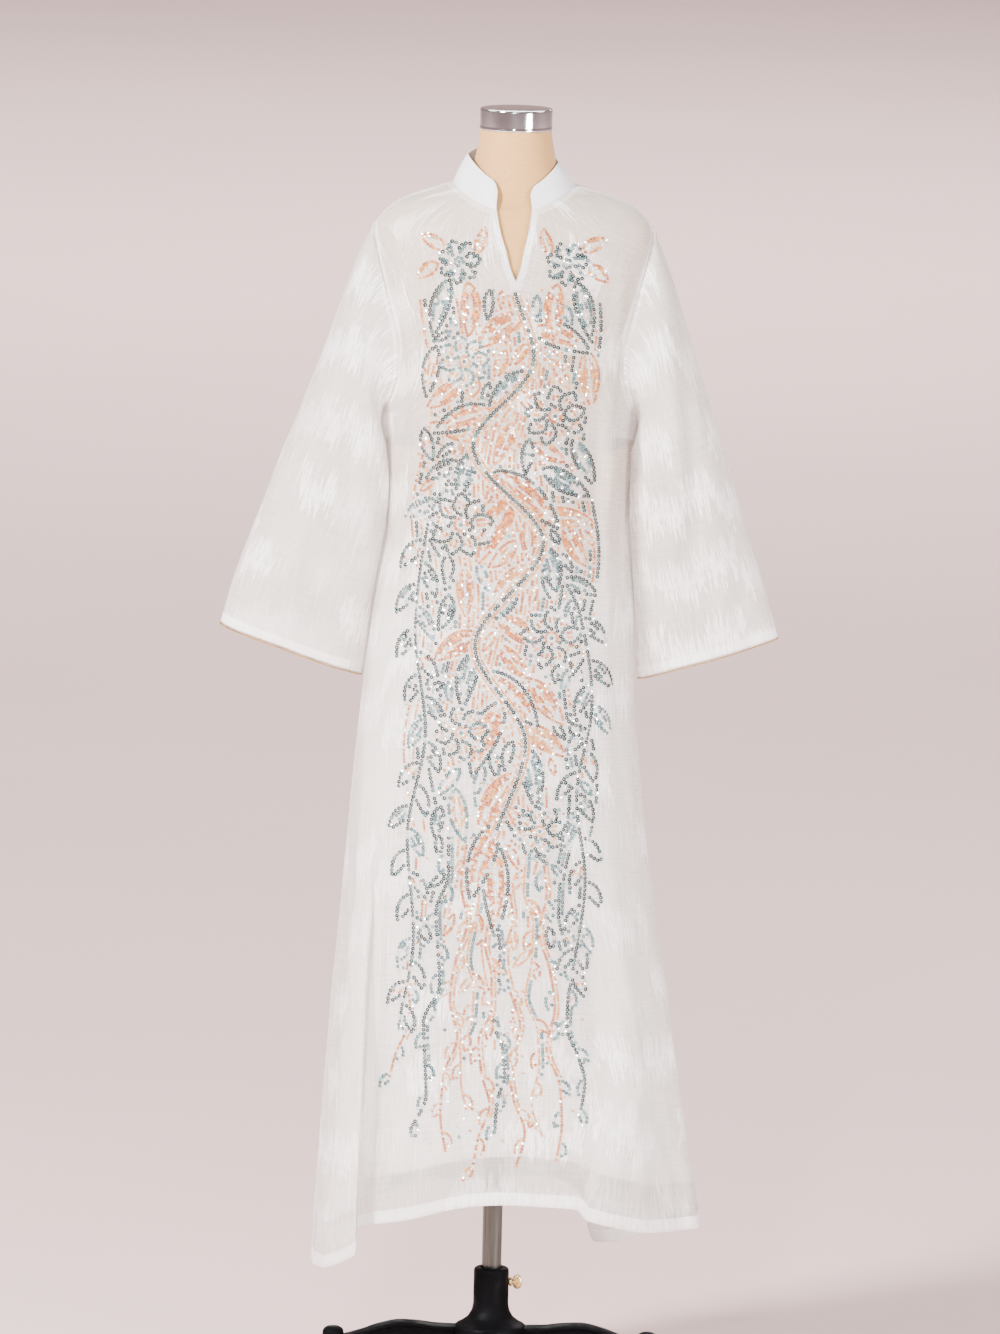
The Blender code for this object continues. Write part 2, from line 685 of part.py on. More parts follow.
def build_piping(name, grid, inner, material):
    """Lay a fine gold cord along the open edge of a cuff."""
    rim = (grid[-1] + inner[-1]) / 2
    before = (grid[-2] + inner[-2]) / 2
    path = []
    for at_rim, at_before in zip(rim, before):
        path.append(at_rim + (PIPING_GAP + PIPING_RADIUS) * unit(at_rim - at_before))
    curve = bpy.data.curves.new(name, "CURVE")
    curve.dimensions = "3D"
    curve.bevel_depth = PIPING_RADIUS
    curve.bevel_resolution = 0
    curve.use_fill_caps = True
    spline = curve.splines.new("POLY")
    spline.points.add(len(path) - 1)
    for point, place in zip(spline.points, path):
        point.co = (*map(float, place), 1.0)
    spline.use_cyclic_u = True
    return add_object(name, curve, material)


def collar_top(angle):
    """Give a point of the collar's upper edge."""
    turned = 180.0 + (angle - 180.0) * (1 - COLLAR_END_TURN / 160.0)
    sine, cosine = math.sin(math.radians(turned)), math.cos(math.radians(turned))
    width, side_z, front, front_z, back, back_z = COLLAR_TOP_RIGHT if sine > 0 else COLLAR_TOP_LEFT
    depth, middle_z = (front, front_z) if cosine > 0 else (back, back_z)
    z = side_z + (middle_z - side_z) * cosine * cosine
    return np.array([width * sine, -depth * cosine, z])


def build_collar(material):
    """Cut the stand collar: it rises from the neck edge and is open at the front."""
    right = [panel_angles(c, NECK_Z) for c in FRONT_COLUMNS if c > 0]
    left = [360.0 + panel_angles(c, NECK_Z) for c in FRONT_COLUMNS if c < 0]
    left_edge, right_edge = slit_edge_angles(NECK_Z)
    angles = [right_edge] + right[:-1] + list(BACK_COLUMNS) + left[1:] + [360.0 + left_edge]
    foot = np.array([
        body_point(a, NECK_Z) + SEAM_GAP * body_up(a, NECK_Z) for a in angles
    ])
    top = np.array([collar_top(a) for a in angles])
    steps = np.linalg.norm(np.diff(foot, axis=0), axis=1)
    from_start = np.concatenate([[0.0], np.cumsum(steps)])
    from_end = from_start[-1] - from_start
    corner = np.array(COLLAR_CORNER)
    heights = np.interp(np.minimum(from_start, from_end), corner[:, 0], corner[:, 1])
    grid = []
    for share in (0.0, 0.5, 1.0):
        reach = (share * heights)[:, None]
        line = foot * (1 - reach) + top * reach
        line[:, :2] *= 1 + COLLAR_SWELL * math.sin(math.pi * share)
        grid.append(line)
    grid = np.array(grid)
    up = np.gradient(grid, axis=0)
    along = np.gradient(grid, axis=1)
    normals = np.cross(along, up)
    normals /= np.linalg.norm(normals, axis=2, keepdims=True)
    inner = grid - COLLAR_CLOTH * normals
    for i, angle in enumerate(angles):
        inner[0][i] = grid[0][i] - COLLAR_CLOTH * body_normal(angle, NECK_Z)
    shell = Shell()
    rows = [shell.row(list(zip(a, b))) for a, b in zip(grid, inner)]
    for low, high in zip(rows, rows[1:]):
        shell.join(low, high)
    return shell.build("collar", material)


def build_slit_facing(material):
    """Cut the facing: a strip inside the front on both sides of the slit, whole below its foot."""
    sunk = CLOTH + FACING_GAP
    shell = Shell()
    rows = []
    below = SLIT_LEVEL_Z - FACING_BELOW_SLIT
    for side_z in [below, SLIT_LEVEL_Z] + [z for z in upper_levels() if z > SLIT_LEVEL_Z + 1e-6]:
        middle, half = centre_x(side_z), slit_half_width(side_z)
        width = FACING_WIDTH * (FACING_FOOT_SHARE if side_z == below else 1.0)
        places = [middle - half - width, middle - half, middle + half, middle + half + width]
        pairs = [
            cloth_pair(angle_at_x(x, side_z), side_z, sunk=sunk, thickness=FACING_CLOTH)
            for x in places
        ]
        if half > 0:
            row = shell.row(pairs)
            rows.append((row[:2], row[2:]))
        else:
            row = shell.row([pairs[0], pairs[1], pairs[3]])
            rows.append((row[:2], row[1:]))
    for low, high in zip(rows, rows[1:]):
        shell.join(low[0], high[0])
        shell.join(low[1], high[1])
    return shell.build("slit_facing", material)


def lining_pair(angle, share):
    """Place the lining inside the skirt: close below its top edge, and free of the folds lower down."""
    low = hem_height(angle) + LINING_SHORTER
    top = skirt_level(angle, LINING_TOP_SHARE)
    height = low + (top - low) * share
    inset = CLOTH + SEAM_GAP + LINING_INSET * ease((top - height) / LINING_INSET_DEPTH)
    inset += LINING_FOLD_ROOM * ease((LINING_FOLD_Z - height) / LINING_FOLD_DEPTH)
    folded = ease((height - LINING_PLAIN_Z) / LINING_PLAIN_DEPTH)
    normal = body_normal(angle, height, folded)
    point = body_point(angle, height, folded) - inset * normal
    return point, point - LINING_CLOTH * normal


def build_lining(material):
    """Cut the lining: a plain slip inside the skirt, shorter than it and open at both ends."""
    shell = Shell()
    rows = [
        shell.row([lining_pair(angle, share) for angle in LINING_COLUMNS])
        for share in LINING_SHARES
    ]
    for low, high in zip(rows, rows[1:]):
        shell.join(low, high, closed=True)
    return shell.build("lining", material)


def form_shoulder_point(angle, side_z):
    """Give the form's face under the yoke: close below the cloth at the shoulders."""
    forward = max(math.cos(math.radians(angle)), 0.0)
    inset = CLOTH + FORM_GAP + FORM_FRONT_GAP * forward ** 2
    return body_point(angle, side_z) - inset * body_normal(angle, side_z)


def form_neck_point(row, angle):
    width, side_z, front, front_z, back, back_z = row
    sine, cosine = math.sin(math.radians(angle)), math.cos(math.radians(angle))
    depth, middle_z = (front, front_z) if cosine > 0 else (back, back_z)
    z = side_z + (middle_z - side_z) * cosine * cosine
    return np.array([width * sine, -depth * cosine, z])


def form_trunk_point(height, angle):
    width, front, back, squareness = form_trunk_row(height)
    sine, cosine = math.sin(math.radians(angle)), math.cos(math.radians(angle))
    depth = front if cosine > 0 else back
    x = width * signed_power(sine, 2 / squareness)
    return np.array([x, -depth * signed_power(cosine, 2 / squareness), height])


def build_torso(material):
    """Model the padded form: hip to neck, limbless, with a blind bore for the pole below."""
    angles = [i * 360.0 / ROUND_STEPS for i in range(ROUND_STEPS)]
    trunk = [row[0] for row in FORM_TRUNK_ROWS]
    rings = [[form_trunk_point(z, a) for a in angles] for z in trunk]
    for side_z in [z for z in upper_levels() if z > FORM_SHOULDER_Z]:
        rings.append([form_shoulder_point(a, side_z) for a in angles])
    rings += [[form_neck_point(row, a) for a in angles] for row in FORM_NECK_ROWS]
    points = [p for ring in rings for p in ring]
    faces = []
    for level in range(len(rings) - 1):
        low, high = level * ROUND_STEPS, (level + 1) * ROUND_STEPS
        for i in range(ROUND_STEPS):
            j = (i + 1) % ROUND_STEPS
            faces.append((low + i, low + j, high + j, high + i))
    faces.append(tuple(reversed(range(ROUND_STEPS))))
    faces.append(tuple(range(len(points) - ROUND_STEPS, len(points))))
    torso = mesh_object("torso", points, faces, material)
    depth = 2 * (FORM_BORE_TOP_Z - FORM_BOTTOM_Z)
    bore = cylinder("torso_bore", BORE_RADIUS, depth, (0.0, 0.0, FORM_BORE_TOP_Z - depth / 2))
    cut(torso, bore)


def turned(name, profile, material, steps=ROUND_STEPS, closed=False, place=(0.0, 0.0, 0.0)):
    """Turn a profile of (radius, height) about Z; it runs down the outer side."""
    mesh = bpy.data.meshes.new(name)
    count = len(profile)
    edges = [(i, i + 1) for i in range(count - 1)]
    if closed:
        edges.append((count - 1, 0))
    mesh.from_pydata([(r, 0.0, z) for r, z in profile], edges, [])
    thing = add_object(name, mesh, material)
    thing.location = place
    screw = thing.modifiers.new("turn", "SCREW")
    screw.steps = steps
    screw.render_steps = steps
    screw.use_merge_vertices = True
    screw.merge_threshold = 0.00005
    screw.use_smooth_shade = True
    return thing


def take_over(thing, name, material):
    """Name a new primitive and keep it with the object's pieces."""
    thing.name = name
    thing.data.name = name
    for owner in list(thing.users_collection):
        owner.objects.unlink(thing)
    abaya_collection.objects.link(thing)
    if material:
        thing.data.materials.append(material)
    shade_round(thing.data)
    return thing


def cylinder(name, radius, depth, place, steps=ROUND_STEPS, along_x=False, material=None):
    turn = (0.0, math.pi / 2, 0.0) if along_x else (0.0, 0.0, 0.0)
    bpy.ops.mesh.primitive_cylinder_add(
        vertices=steps, radius=radius, depth=depth, location=place, rotation=turn
    )
    return take_over(bpy.context.object, name, material)


def combine(thing, other, operation):
    """Cut or join a helper solid, which is then hidden and kept with the cutters."""
    boolean = thing.modifiers.new(other.name, "BOOLEAN")
    boolean.operation = operation
    boolean.object = other
    abaya_collection.objects.unlink(other)
    cutter_collection.objects.link(other)
    other.hide_render = True
    other.display_type = "WIRE"


def cut(thing, cutter):
    combine(thing, cutter, "DIFFERENCE")


def join(thing, other):
    combine(thing, other, "UNION")


def plate(name, outline, thickness, turn):
    """Make a flat piece of a radial outline (reach, height), turned about the pole's axis."""
    points = [(reach, 0.0, height) for reach, height in outline]
    thing = mesh_object(name, points, [tuple(range(len(outline)))], None)
    thing.rotation_euler = (0.0, 0.0, turn)
    solid = thing.modifiers.new("thickness", "SOLIDIFY")
    solid.thickness = thickness
    solid.offset = 0.0
    return thing


def leg_place(number):
    turn = number * math.pi / 2
    return LEG_REACH * math.cos(turn), LEG_REACH * math.sin(turn), 0.0


def build_base(material):
    """Cast the stand's base: a bored hub, four arms with a web and a flange, and four legs."""
    base = turned("base", HUB_PROFILE, material, closed=True)
    raised = [(reach, height + FLANGE_RAISED) for reach, height in ARM_TOP]
    lowered = [(reach, height - FLANGE_DEPTH) for reach, height in reversed(raised)]
    for i in range(4):
        turn = i * math.pi / 2
        join(base, plate(f"arm_web_{i}", ARM_TOP + ARM_BOTTOM, ARM_WEB, turn))
        join(base, plate(f"arm_flange_{i}", raised + lowered, ARM_FLANGE, turn))
        join(base, turned(f"leg_{i}", LEG_PROFILE, None, SMALL_STEPS, place=leg_place(i)))
    middle_z = (HUB_TOP_Z + HUB_BOTTOM_Z) / 2
    length = HUB_TOP_Z - HUB_BOTTOM_Z + 0.03
    cut(base, cylinder("hub_bore", BORE_RADIUS, length, (0.0, 0.0, middle_z)))
    hole = (SCREW_RADIUS + RUNNING_GAP, SCREW_END_X, (SCREW_END_X / 2, 0.0, SCREW_Z))
    cut(base, cylinder("screw_hole", *hole, SMALL_STEPS, True))


def build_feet(material):
    """Turn the four plain glides under the legs."""
    for i in range(4):
        turned(f"foot_{i + 1}", GLIDE_PROFILE, material, SMALL_STEPS, place=leg_place(i))


def build_screw(material):
    """Make the hub's thumb screw: a shank towards the pole and an oval head."""
    length = SCREW_END_X - BORE_RADIUS
    shank = (SCREW_RADIUS, length, (BORE_RADIUS + length / 2, 0.0, SCREW_Z))
    screw = cylinder("thumb_screw", *shank, SMALL_STEPS, True, material)
    ring = (SCREW_COLLAR_RADIUS, SCREW_COLLAR_LENGTH, (SCREW_COLLAR_X, 0.0, SCREW_Z))
    join(screw, cylinder("screw_collar", *ring, SMALL_STEPS, True))
    bpy.ops.mesh.primitive_uv_sphere_add(
        segments=SMALL_STEPS, ring_count=8, radius=1.0, location=(SCREW_HEAD_X, 0.0, SCREW_Z)
    )
    head = take_over(bpy.context.object, "screw_head", None)
    for vertex in head.data.vertices:
        vertex.co = [c * half for c, half in zip(vertex.co, SCREW_HEAD_HALF_SIZES)]
    join(screw, head)


def build_pole(material):
    top = FORM_BORE_TOP_Z - SEAM_GAP
    narrow = POLE_RADIUS - POLE_CHAMFER
    profile = (
        (0.0, top), (narrow, top), (POLE_RADIUS, top - POLE_CHAMFER),
        (POLE_RADIUS, POLE_BOTTOM_Z + POLE_CHAMFER), (narrow, POLE_BOTTOM_Z), (0.0, POLE_BOTTOM_Z),
    )
    turned("pole", profile, material)


def build_neck_cap(material):
    """Turn the bright cap on the form's neck."""
    profile = (
        (0.0, CAP_TOP_Z), (CAP_RADIUS - 0.0060, CAP_TOP_Z - 0.0002),
        (CAP_RADIUS - 0.0018, CAP_TOP_Z - 0.0010), (CAP_RADIUS, CAP_TOP_Z - 0.0030),
        (CAP_RADIUS, CAP_BOTTOM_Z + 0.0010), (CAP_RADIUS - 0.0010, CAP_BOTTOM_Z),
        (0.0, CAP_BOTTOM_Z),
    )
    turned("neck_cap", profile, material)


def hang_on_form(names):
    """Parent what turns with the form to an empty on the pole's axis."""
    form = bpy.data.objects.new("form_turn", None)
    abaya_collection.objects.link(form)
    for name in names:
        bpy.data.objects[name].parent = form


def build_all():
    gauze = finish("gauze", (0.86, 0.84, 0.81), 0.75)
    stiff = finish("collar_cloth", (0.87, 0.87, 0.89), 0.7)
    slip = finish("slip", (0.88, 0.86, 0.84), 0.8)
    gold = finish("gold_cord", (0.62, 0.45, 0.16), 0.35, 0.8)
    cover = finish("cream_cover", (0.78, 0.67, 0.52), 0.8)
    chrome = finish("chrome", (0.75, 0.75, 0.76), 0.12, 1.0)
    steel = finish("pole_steel", (0.55, 0.54, 0.53), 0.3, 0.9)
    iron = finish("black_iron", (0.02, 0.02, 0.022), 0.45, 0.5)
    brass = finish("brass", (0.60, 0.46, 0.22), 0.3, 1.0)
    rubber = finish("rubber", (0.03, 0.03, 0.03), 0.8)

    build_front(gauze)
    build_back(gauze)
    for name, side, table in (
        ("left", -1, LEFT_SLEEVE_ROWS),
        ("right", 1, RIGHT_SLEEVE_ROWS),
    ):
        grid, inner = build_sleeve(f"sleeve_{name}", side, table, gauze)
        build_piping(f"cuff_piping_{name}", grid, inner, gold)
    build_collar(stiff)
    build_slit_facing(stiff)
    build_lining(slip)
    build_torso(cover)
    build_neck_cap(chrome)
    hang_on_form((
        "front", "back", "sleeve_left", "sleeve_right", "cuff_piping_left",
        "cuff_piping_right", "collar", "slit_facing", "lining", "torso", "neck_cap",
    ))
    build_pole(steel)
    build_base(iron)
    build_feet(rubber)
    build_screw(brass)


for old in list(bpy.data.objects):
    bpy.data.objects.remove(old, do_unlink=True)
abaya_collection = bpy.data.collections.new("abaya_on_dress_form")
cutter_collection = bpy.data.collections.new("cutters")
for made in (abaya_collection, cutter_collection):
    bpy.context.scene.collection.children.link(made)
build_all()
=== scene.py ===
"""Looks of a long gauze abaya on a limbless dress form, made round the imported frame.

Metres, +Z up, and the front faces -Y. Angles go round the body in degrees: 0 at the centre front,
90 at the +X side seam, 180 at the centre back and -90 at the -X side seam, as in the part's source.
Places on the flat cloth are in metres too: u across it and v up from its finished edge.
"""

import math

import bmesh
import bpy
import numpy as np
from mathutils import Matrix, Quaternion, Vector
from mathutils.bvhtree import BVHTree


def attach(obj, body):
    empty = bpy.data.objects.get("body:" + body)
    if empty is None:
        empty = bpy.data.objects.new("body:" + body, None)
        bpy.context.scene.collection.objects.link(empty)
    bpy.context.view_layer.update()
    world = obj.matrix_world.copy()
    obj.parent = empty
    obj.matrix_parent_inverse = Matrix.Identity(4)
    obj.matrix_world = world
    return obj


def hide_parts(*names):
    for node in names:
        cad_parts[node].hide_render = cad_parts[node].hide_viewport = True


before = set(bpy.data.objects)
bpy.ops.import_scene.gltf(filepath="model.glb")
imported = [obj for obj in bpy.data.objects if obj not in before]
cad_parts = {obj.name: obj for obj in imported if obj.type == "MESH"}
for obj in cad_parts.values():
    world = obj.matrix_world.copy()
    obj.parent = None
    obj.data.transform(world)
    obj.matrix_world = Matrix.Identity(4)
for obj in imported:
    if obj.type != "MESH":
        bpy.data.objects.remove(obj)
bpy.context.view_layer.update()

# Sizes that the part's source gives too
UNDERARM_Z = 1.360
SLIT_LEVEL_Z = 1.575
TIP_Z = 1.616
NECK_Z = 1.669
ARMHOLE_CROWDING = 1.6
SLIT_HALF_WIDTH = 0.024
SLIT_CURVE = 0.8
SLIT_APEX_X = 0.004
SLIT_DRIFT_FROM_Z = 1.450
FACING_WIDTH = 0.010
FACING_FOOT_SHARE = 0.7
FACING_BELOW_SLIT = 0.014
FACING_SUNK = 0.0020
LINING_SHORTER = 0.065
LINING_TOP_SHARE = 0.965
SLEEVE_CLEARANCE = 0.0045
SLEEVE_HEAD_STATIONS = 1.8
LAST_STATION = 7.0
COLLAR_CLOTH = 0.0016
COLLAR_SWELL = 0.021

# side_z, left half width, right half width, front depth, front_z, back depth, back_z, squareness
BODY_ROWS = (
    (0.190, 0.247, 0.296, 0.158, 0.190, 0.160, 0.190, 2.2),
    (0.370, 0.238, 0.261, 0.152, 0.370, 0.154, 0.370, 2.2),
    (0.540, 0.227, 0.234, 0.146, 0.540, 0.148, 0.540, 2.2),
    (0.700, 0.214, 0.208, 0.141, 0.700, 0.142, 0.700, 2.2),
    (0.870, 0.201, 0.186, 0.137, 0.870, 0.135, 0.870, 2.2),
    (0.990, 0.190, 0.175, 0.134, 0.990, 0.129, 0.990, 2.2),
    (1.100, 0.180, 0.173, 0.130, 1.100, 0.121, 1.100, 2.2),
    (1.220, 0.170, 0.167, 0.127, 1.220, 0.111, 1.220, 2.2),
    (1.300, 0.172, 0.171, 0.131, 1.300, 0.108, 1.300, 2.3),
    (1.360, 0.173, 0.173, 0.135, 1.360, 0.108, 1.360, 2.3),
    (1.425, 0.177, 0.177, 0.134, 1.420, 0.112, 1.425, 2.2),
    (1.490, 0.182, 0.182, 0.124, 1.480, 0.114, 1.490, 2.1),
    (1.550, 0.187, 0.187, 0.112, 1.530, 0.108, 1.550, 2.0),
    (1.595, 0.188, 0.188, 0.102, 1.565, 0.098, 1.595, 1.9),
    (1.616, 0.183, 0.183, 0.096, 1.588, 0.088, 1.618, 1.75),
    (1.642, 0.158, 0.158, 0.089, 1.608, 0.078, 1.638, 1.7),
    (1.657, 0.121, 0.120, 0.083, 1.624, 0.068, 1.656, 1.75),
    (1.669, 0.083, 0.081, 0.077, 1.638, 0.060, 1.675, 2.0),
)
# side_z, half_angle
ARMHOLE_ROWS = (
    (1.360, 0.0), (1.366, 13.0), (1.377, 21.5), (1.393, 28.0), (1.420, 33.0), (1.460, 34.0),
    (1.500, 30.0), (1.550, 22.0), (1.575, 15.5), (1.595, 9.5), (1.616, 0.0),
)
# angle, height
HEM_ROWS = (
    (-180.0, 0.283), (-150.0, 0.262), (-132.0, 0.240), (-112.0, 0.212), (-90.0, 0.195),
    (-72.0, 0.199), (-56.0, 0.222), (-51.0, 0.232), (-46.5, 0.259), (-26.0, 0.278),
    (-5.0, 0.299), (4.0, 0.3025), (13.0, 0.301), (21.5, 0.298), (24.5, 0.289), (32.0, 0.278),
    (49.0, 0.262), (64.0, 0.259), (90.0, 0.259), (105.0, 0.252), (120.0, 0.234), (134.0, 0.218),
    (146.0, 0.199), (154.5, 0.1945), (158.5, 0.262), (168.0, 0.279), (180.0, 0.283),
)
# start, peak, end, lean, low_none, low_full, high_full, high_none, out_x, out_y
FOLD_ROWS = (
    (-45.5, -51.0, -99.0, -10.0, -2.0, -1.0, 0.300, 0.930, 0.010, -0.052),
    (21.6, 25.0, 64.0, 80.0, -2.0, -1.0, 0.290, 0.440, 0.000, -0.024),
    (-24.0, -4.0, 19.0, 0.0, -2.0, -1.0, 0.450, 1.050, 0.000, 0.012),
    (38.0, 50.0, 58.0, 0.0, 0.820, 1.050, 1.350, 1.450, 0.002, -0.010),
    (55.0, 67.0, 84.0, 0.0, 0.950, 1.130, 1.300, 1.400, -0.005, 0.004),
    (62.0, 76.0, 90.0, -6.0, -2.0, -1.0, 0.400, 0.950, 0.004, -0.012),
    (110.0, 128.0, 147.0, 5.0, -2.0, -1.0, 0.350, 1.000, 0.012, 0.026),
    (147.0, 164.0, 181.0, 3.0, -2.0, -1.0, 0.350, 1.150, 0.006, 0.024),
    (184.0, 201.0, 218.0, -3.0, -2.0, -1.0, 0.350, 1.100, -0.006, 0.026),
    (219.0, 235.0, 252.0, -5.0, -2.0, -1.0, 0.350, 0.950, -0.014, 0.022),
)
# first, full_from, full_to, last, lean, until, back
COLUMN_LEANS = (
    (-80.0, -56.0, -44.0, -10.0, -10.0, 0.930, 1.300),
    (9.0, 21.7, 25.5, 61.0, 80.0, 0.440, 0.850),
)
FRONT_COLUMNS = (
    -90.0, -82.0, -74.0, -66.0, -59.0, -54.0, -51.0, -48.5, -46.0, -42.0, -35.0, -27.0, -19.0,
    -10.0, 0.0, 9.0, 17.0, 21.7, 23.5, 25.5, 30.0, 36.0, 43.0, 49.0, 55.0, 61.0, 68.0, 75.0,
    82.0, 90.0,
)
BACK_COLUMNS = (
    90.0, 98.0, 106.0, 114.0, 121.0, 128.0, 136.0, 146.0, 154.5, 158.5, 166.0, 174.0, 182.0,
    191.0, 201.0, 210.0, 219.0, 227.0, 235.0, 244.0, 253.0, 262.0, 270.0,
)
# station, outer_x, outer_z, inner_x, inner_z, front_depth, back_depth, squareness
LEFT_SLEEVE_ROWS = (
    (0.0, 0.185, 1.615, 0.173, 1.360, 0.066, 0.062, 2.0),
    (1.0, 0.206, 1.578, 0.176, 1.335, 0.074, 0.066, 2.1),
    (2.0, 0.233, 1.495, 0.158, 1.300, 0.084, 0.070, 2.4),
    (3.0, 0.272, 1.385, 0.148, 1.255, 0.086, 0.070, 2.6),
    (4.0, 0.304, 1.303, 0.153, 1.205, 0.080, 0.064, 2.6),
    (5.0, 0.334, 1.220, 0.163, 1.147, 0.068, 0.054, 2.5),
    (6.0, 0.364, 1.137, 0.178, 1.072, 0.052, 0.042, 2.4),
    (7.0, 0.384, 1.066, 0.193, 1.001, 0.036, 0.030, 2.3),
)
RIGHT_SLEEVE_ROWS = (
    (0.0, 0.185, 1.615, 0.173, 1.360, 0.066, 0.062, 2.0),
    (1.0, 0.204, 1.573, 0.176, 1.335, 0.074, 0.066, 2.1),
    (2.0, 0.230, 1.495, 0.160, 1.300, 0.082, 0.070, 2.4),
    (3.0, 0.262, 1.395, 0.160, 1.255, 0.082, 0.070, 2.6),
    (4.0, 0.292, 1.302, 0.162, 1.205, 0.076, 0.064, 2.6),
    (5.0, 0.320, 1.210, 0.165, 1.147, 0.064, 0.054, 2.5),
    (6.0, 0.347, 1.130, 0.172, 1.068, 0.050, 0.042, 2.4),
    (7.0, 0.367, 1.062, 0.181, 1.004, 0.036, 0.030, 2.3),
)
# height, half_width, front_depth, back_depth, squareness
FORM_TRUNK_ROWS = (
    (0.930, 0.150, 0.108, 0.108, 2.2), (0.980, 0.157, 0.115, 0.113, 2.2),
    (1.040, 0.158, 0.117, 0.112, 2.2), (1.110, 0.146, 0.110, 0.102, 2.1),
    (1.220, 0.118, 0.096, 0.084, 2.0), (1.310, 0.132, 0.108, 0.088, 2.1),
    (1.400, 0.148, 0.123, 0.098, 2.1), (1.480, 0.155, 0.113, 0.104, 2.1),
    (1.550, 0.165, 0.099, 0.100, 2.0),
)
# half_width, side_z, front_depth, front_z, back_depth, back_z
FORM_NECK_ROWS = (
    (0.0660, 1.677, 0.0620, 1.650, 0.0535, 1.683),
    (0.0585, 1.688, 0.0545, 1.671, 0.0505, 1.694),
    (0.0540, 1.704, 0.0515, 1.694, 0.0495, 1.708),
    (0.0505, 1.721, 0.0495, 1.718, 0.0485, 1.723),
    (0.0475, 1.7417, 0.0475, 1.7417, 0.0475, 1.7417),
)
FORM_SHOULDER_LEVELS = (1.591, 1.607, 1.616, 1.630, 1.644, 1.657, 1.669)
FORM_INSET = 0.0023
FORM_FRONT_INSET = 0.0030
COLLAR_TOP_LEFT = (0.0645, 1.709, 0.0600, 1.671, 0.0520, 1.721)
COLLAR_TOP_RIGHT = (0.0580, 1.700, 0.0600, 1.665, 0.0520, 1.721)
COLLAR_END_TURN = 2.5
COLLAR_CORNER = ((0.000, 0.66), (0.004, 0.86), (0.009, 0.97), (0.014, 1.0))
# radius, height, down the outer side of what is turned
CAP_PROFILE = (
    (0.0, 1.7710), (0.020, 1.7709), (0.0481, 1.7704), (0.0488, 1.7680), (0.0486, 1.7462),
    (0.0489, 1.7450), (0.0489, 1.7420), (0.0, 1.7420),
)
POLE_PROFILE = ((0.0, 1.0497), (0.0135, 1.0497), (0.0135, 0.065), (0.0, 0.065))
BORE_RADIUS = 0.0138
HUB_PROFILE = (
    (0.0212, 0.1870), (0.0240, 0.1842), (0.0240, 0.136), (0.0258, 0.127), (0.0310, 0.118),
    (0.0400, 0.111), (0.0480, 0.107), (0.0480, 0.092), (0.0400, 0.083), (0.0280, 0.077),
    (BORE_RADIUS, 0.077), (BORE_RADIUS, 0.187),
)
LEG_PROFILE = (
    (0.0, 0.1010), (0.0080, 0.1000), (0.0125, 0.0975), (0.0145, 0.0935), (0.0145, 0.039),
    (0.0125, 0.036), (0.0, 0.036),
)
GLIDE_PROFILE = (
    (0.0, 0.0357), (0.0110, 0.0357), (0.0110, 0.0150), (0.0205, 0.0110), (0.0205, 0.0015),
    (0.0190, 0.0), (0.0, 0.0),
)
LEG_REACH = 0.214
ARM_TOP = (
    (0.020, 0.110), (0.048, 0.106), (0.072, 0.1065), (0.098, 0.1095), (0.122, 0.1105),
    (0.150, 0.1050), (0.178, 0.0950), (0.206, 0.0870),
)
ARM_BOTTOM = (
    (0.020, 0.082), (0.070, 0.078), (0.115, 0.079), (0.150, 0.074), (0.180, 0.066), (0.206, 0.064),
)
ARM_WEB = 0.009
ARM_FLANGE = 0.026
FLANGE_DEPTH = 0.006
SCREW_Z = 0.167
SCREW_RADIUS = 0.004
SCREW_THREAD_PITCH = 0.00125
SCREW_HEAD_X = 0.0355
SCREW_HEAD_HALF_SIZES = (0.0068, 0.0032, 0.0100)

# Sewing
SKIRT_HEM = 0.018
CUFF_HEM = 0.0155
CUFF_HEM_STATIONS = 0.19
LINING_HEM = 0.012
# How high the hem's rows lie above its fold, as shares of its depth, from the sewn edge down
HEM_ROW_SHARES = (1.0, 0.75, 0.5, 0.25, 0.06)
# The gap between the cloth and its turned hem
TURNED_GAP = 0.0009
# How far the cloth stands off its plain form, and how wide it is held down beside a seam
PROUD = 0.0008
SEAM_WELT = 0.0035
SEAM_CALM = 0.014
PUCKER_HEIGHT, PUCKER_WIDTH, PUCKER_LENGTH = 0.00035, 0.010, 0.0115
# The body's sides are calmer beyond this x and above this level, where the sleeves lie on them
BESIDE_SLEEVE_X, BESIDE_SLEEVE_Z, BESIDE_SLEEVE_CALM = 0.135, 0.95, 0.8
# Width of the flat cloth for a quarter of the way round the body
PANEL_QUARTER = 0.30
LINING_QUARTER = 0.29
# Rows and columns of the grids
SKIRT_ROWS = 168
FINE_COLUMNS = 6
SLEEVE_ROWS = 118
SLEEVE_MIDDLE_ROW = 70
LINING_ROWS, LINING_COLUMNS = 76, 144
FORM_COLUMNS, FORM_FINE_ROWS = 144, 5
# Gaps between the lining and the outer face: everywhere, more below its top, and more in the skirt
LINING_GAP, LINING_GAP_BELOW_TOP, LINING_FOLD_ROOM = 0.0015, 0.005, 0.013
FACING_PROUD = 0.0006
CORD_RADIUS, CORD_TWIST_RADIUS, CORD_TWIST_LENGTH = 0.00052, 0.00045, 0.0042


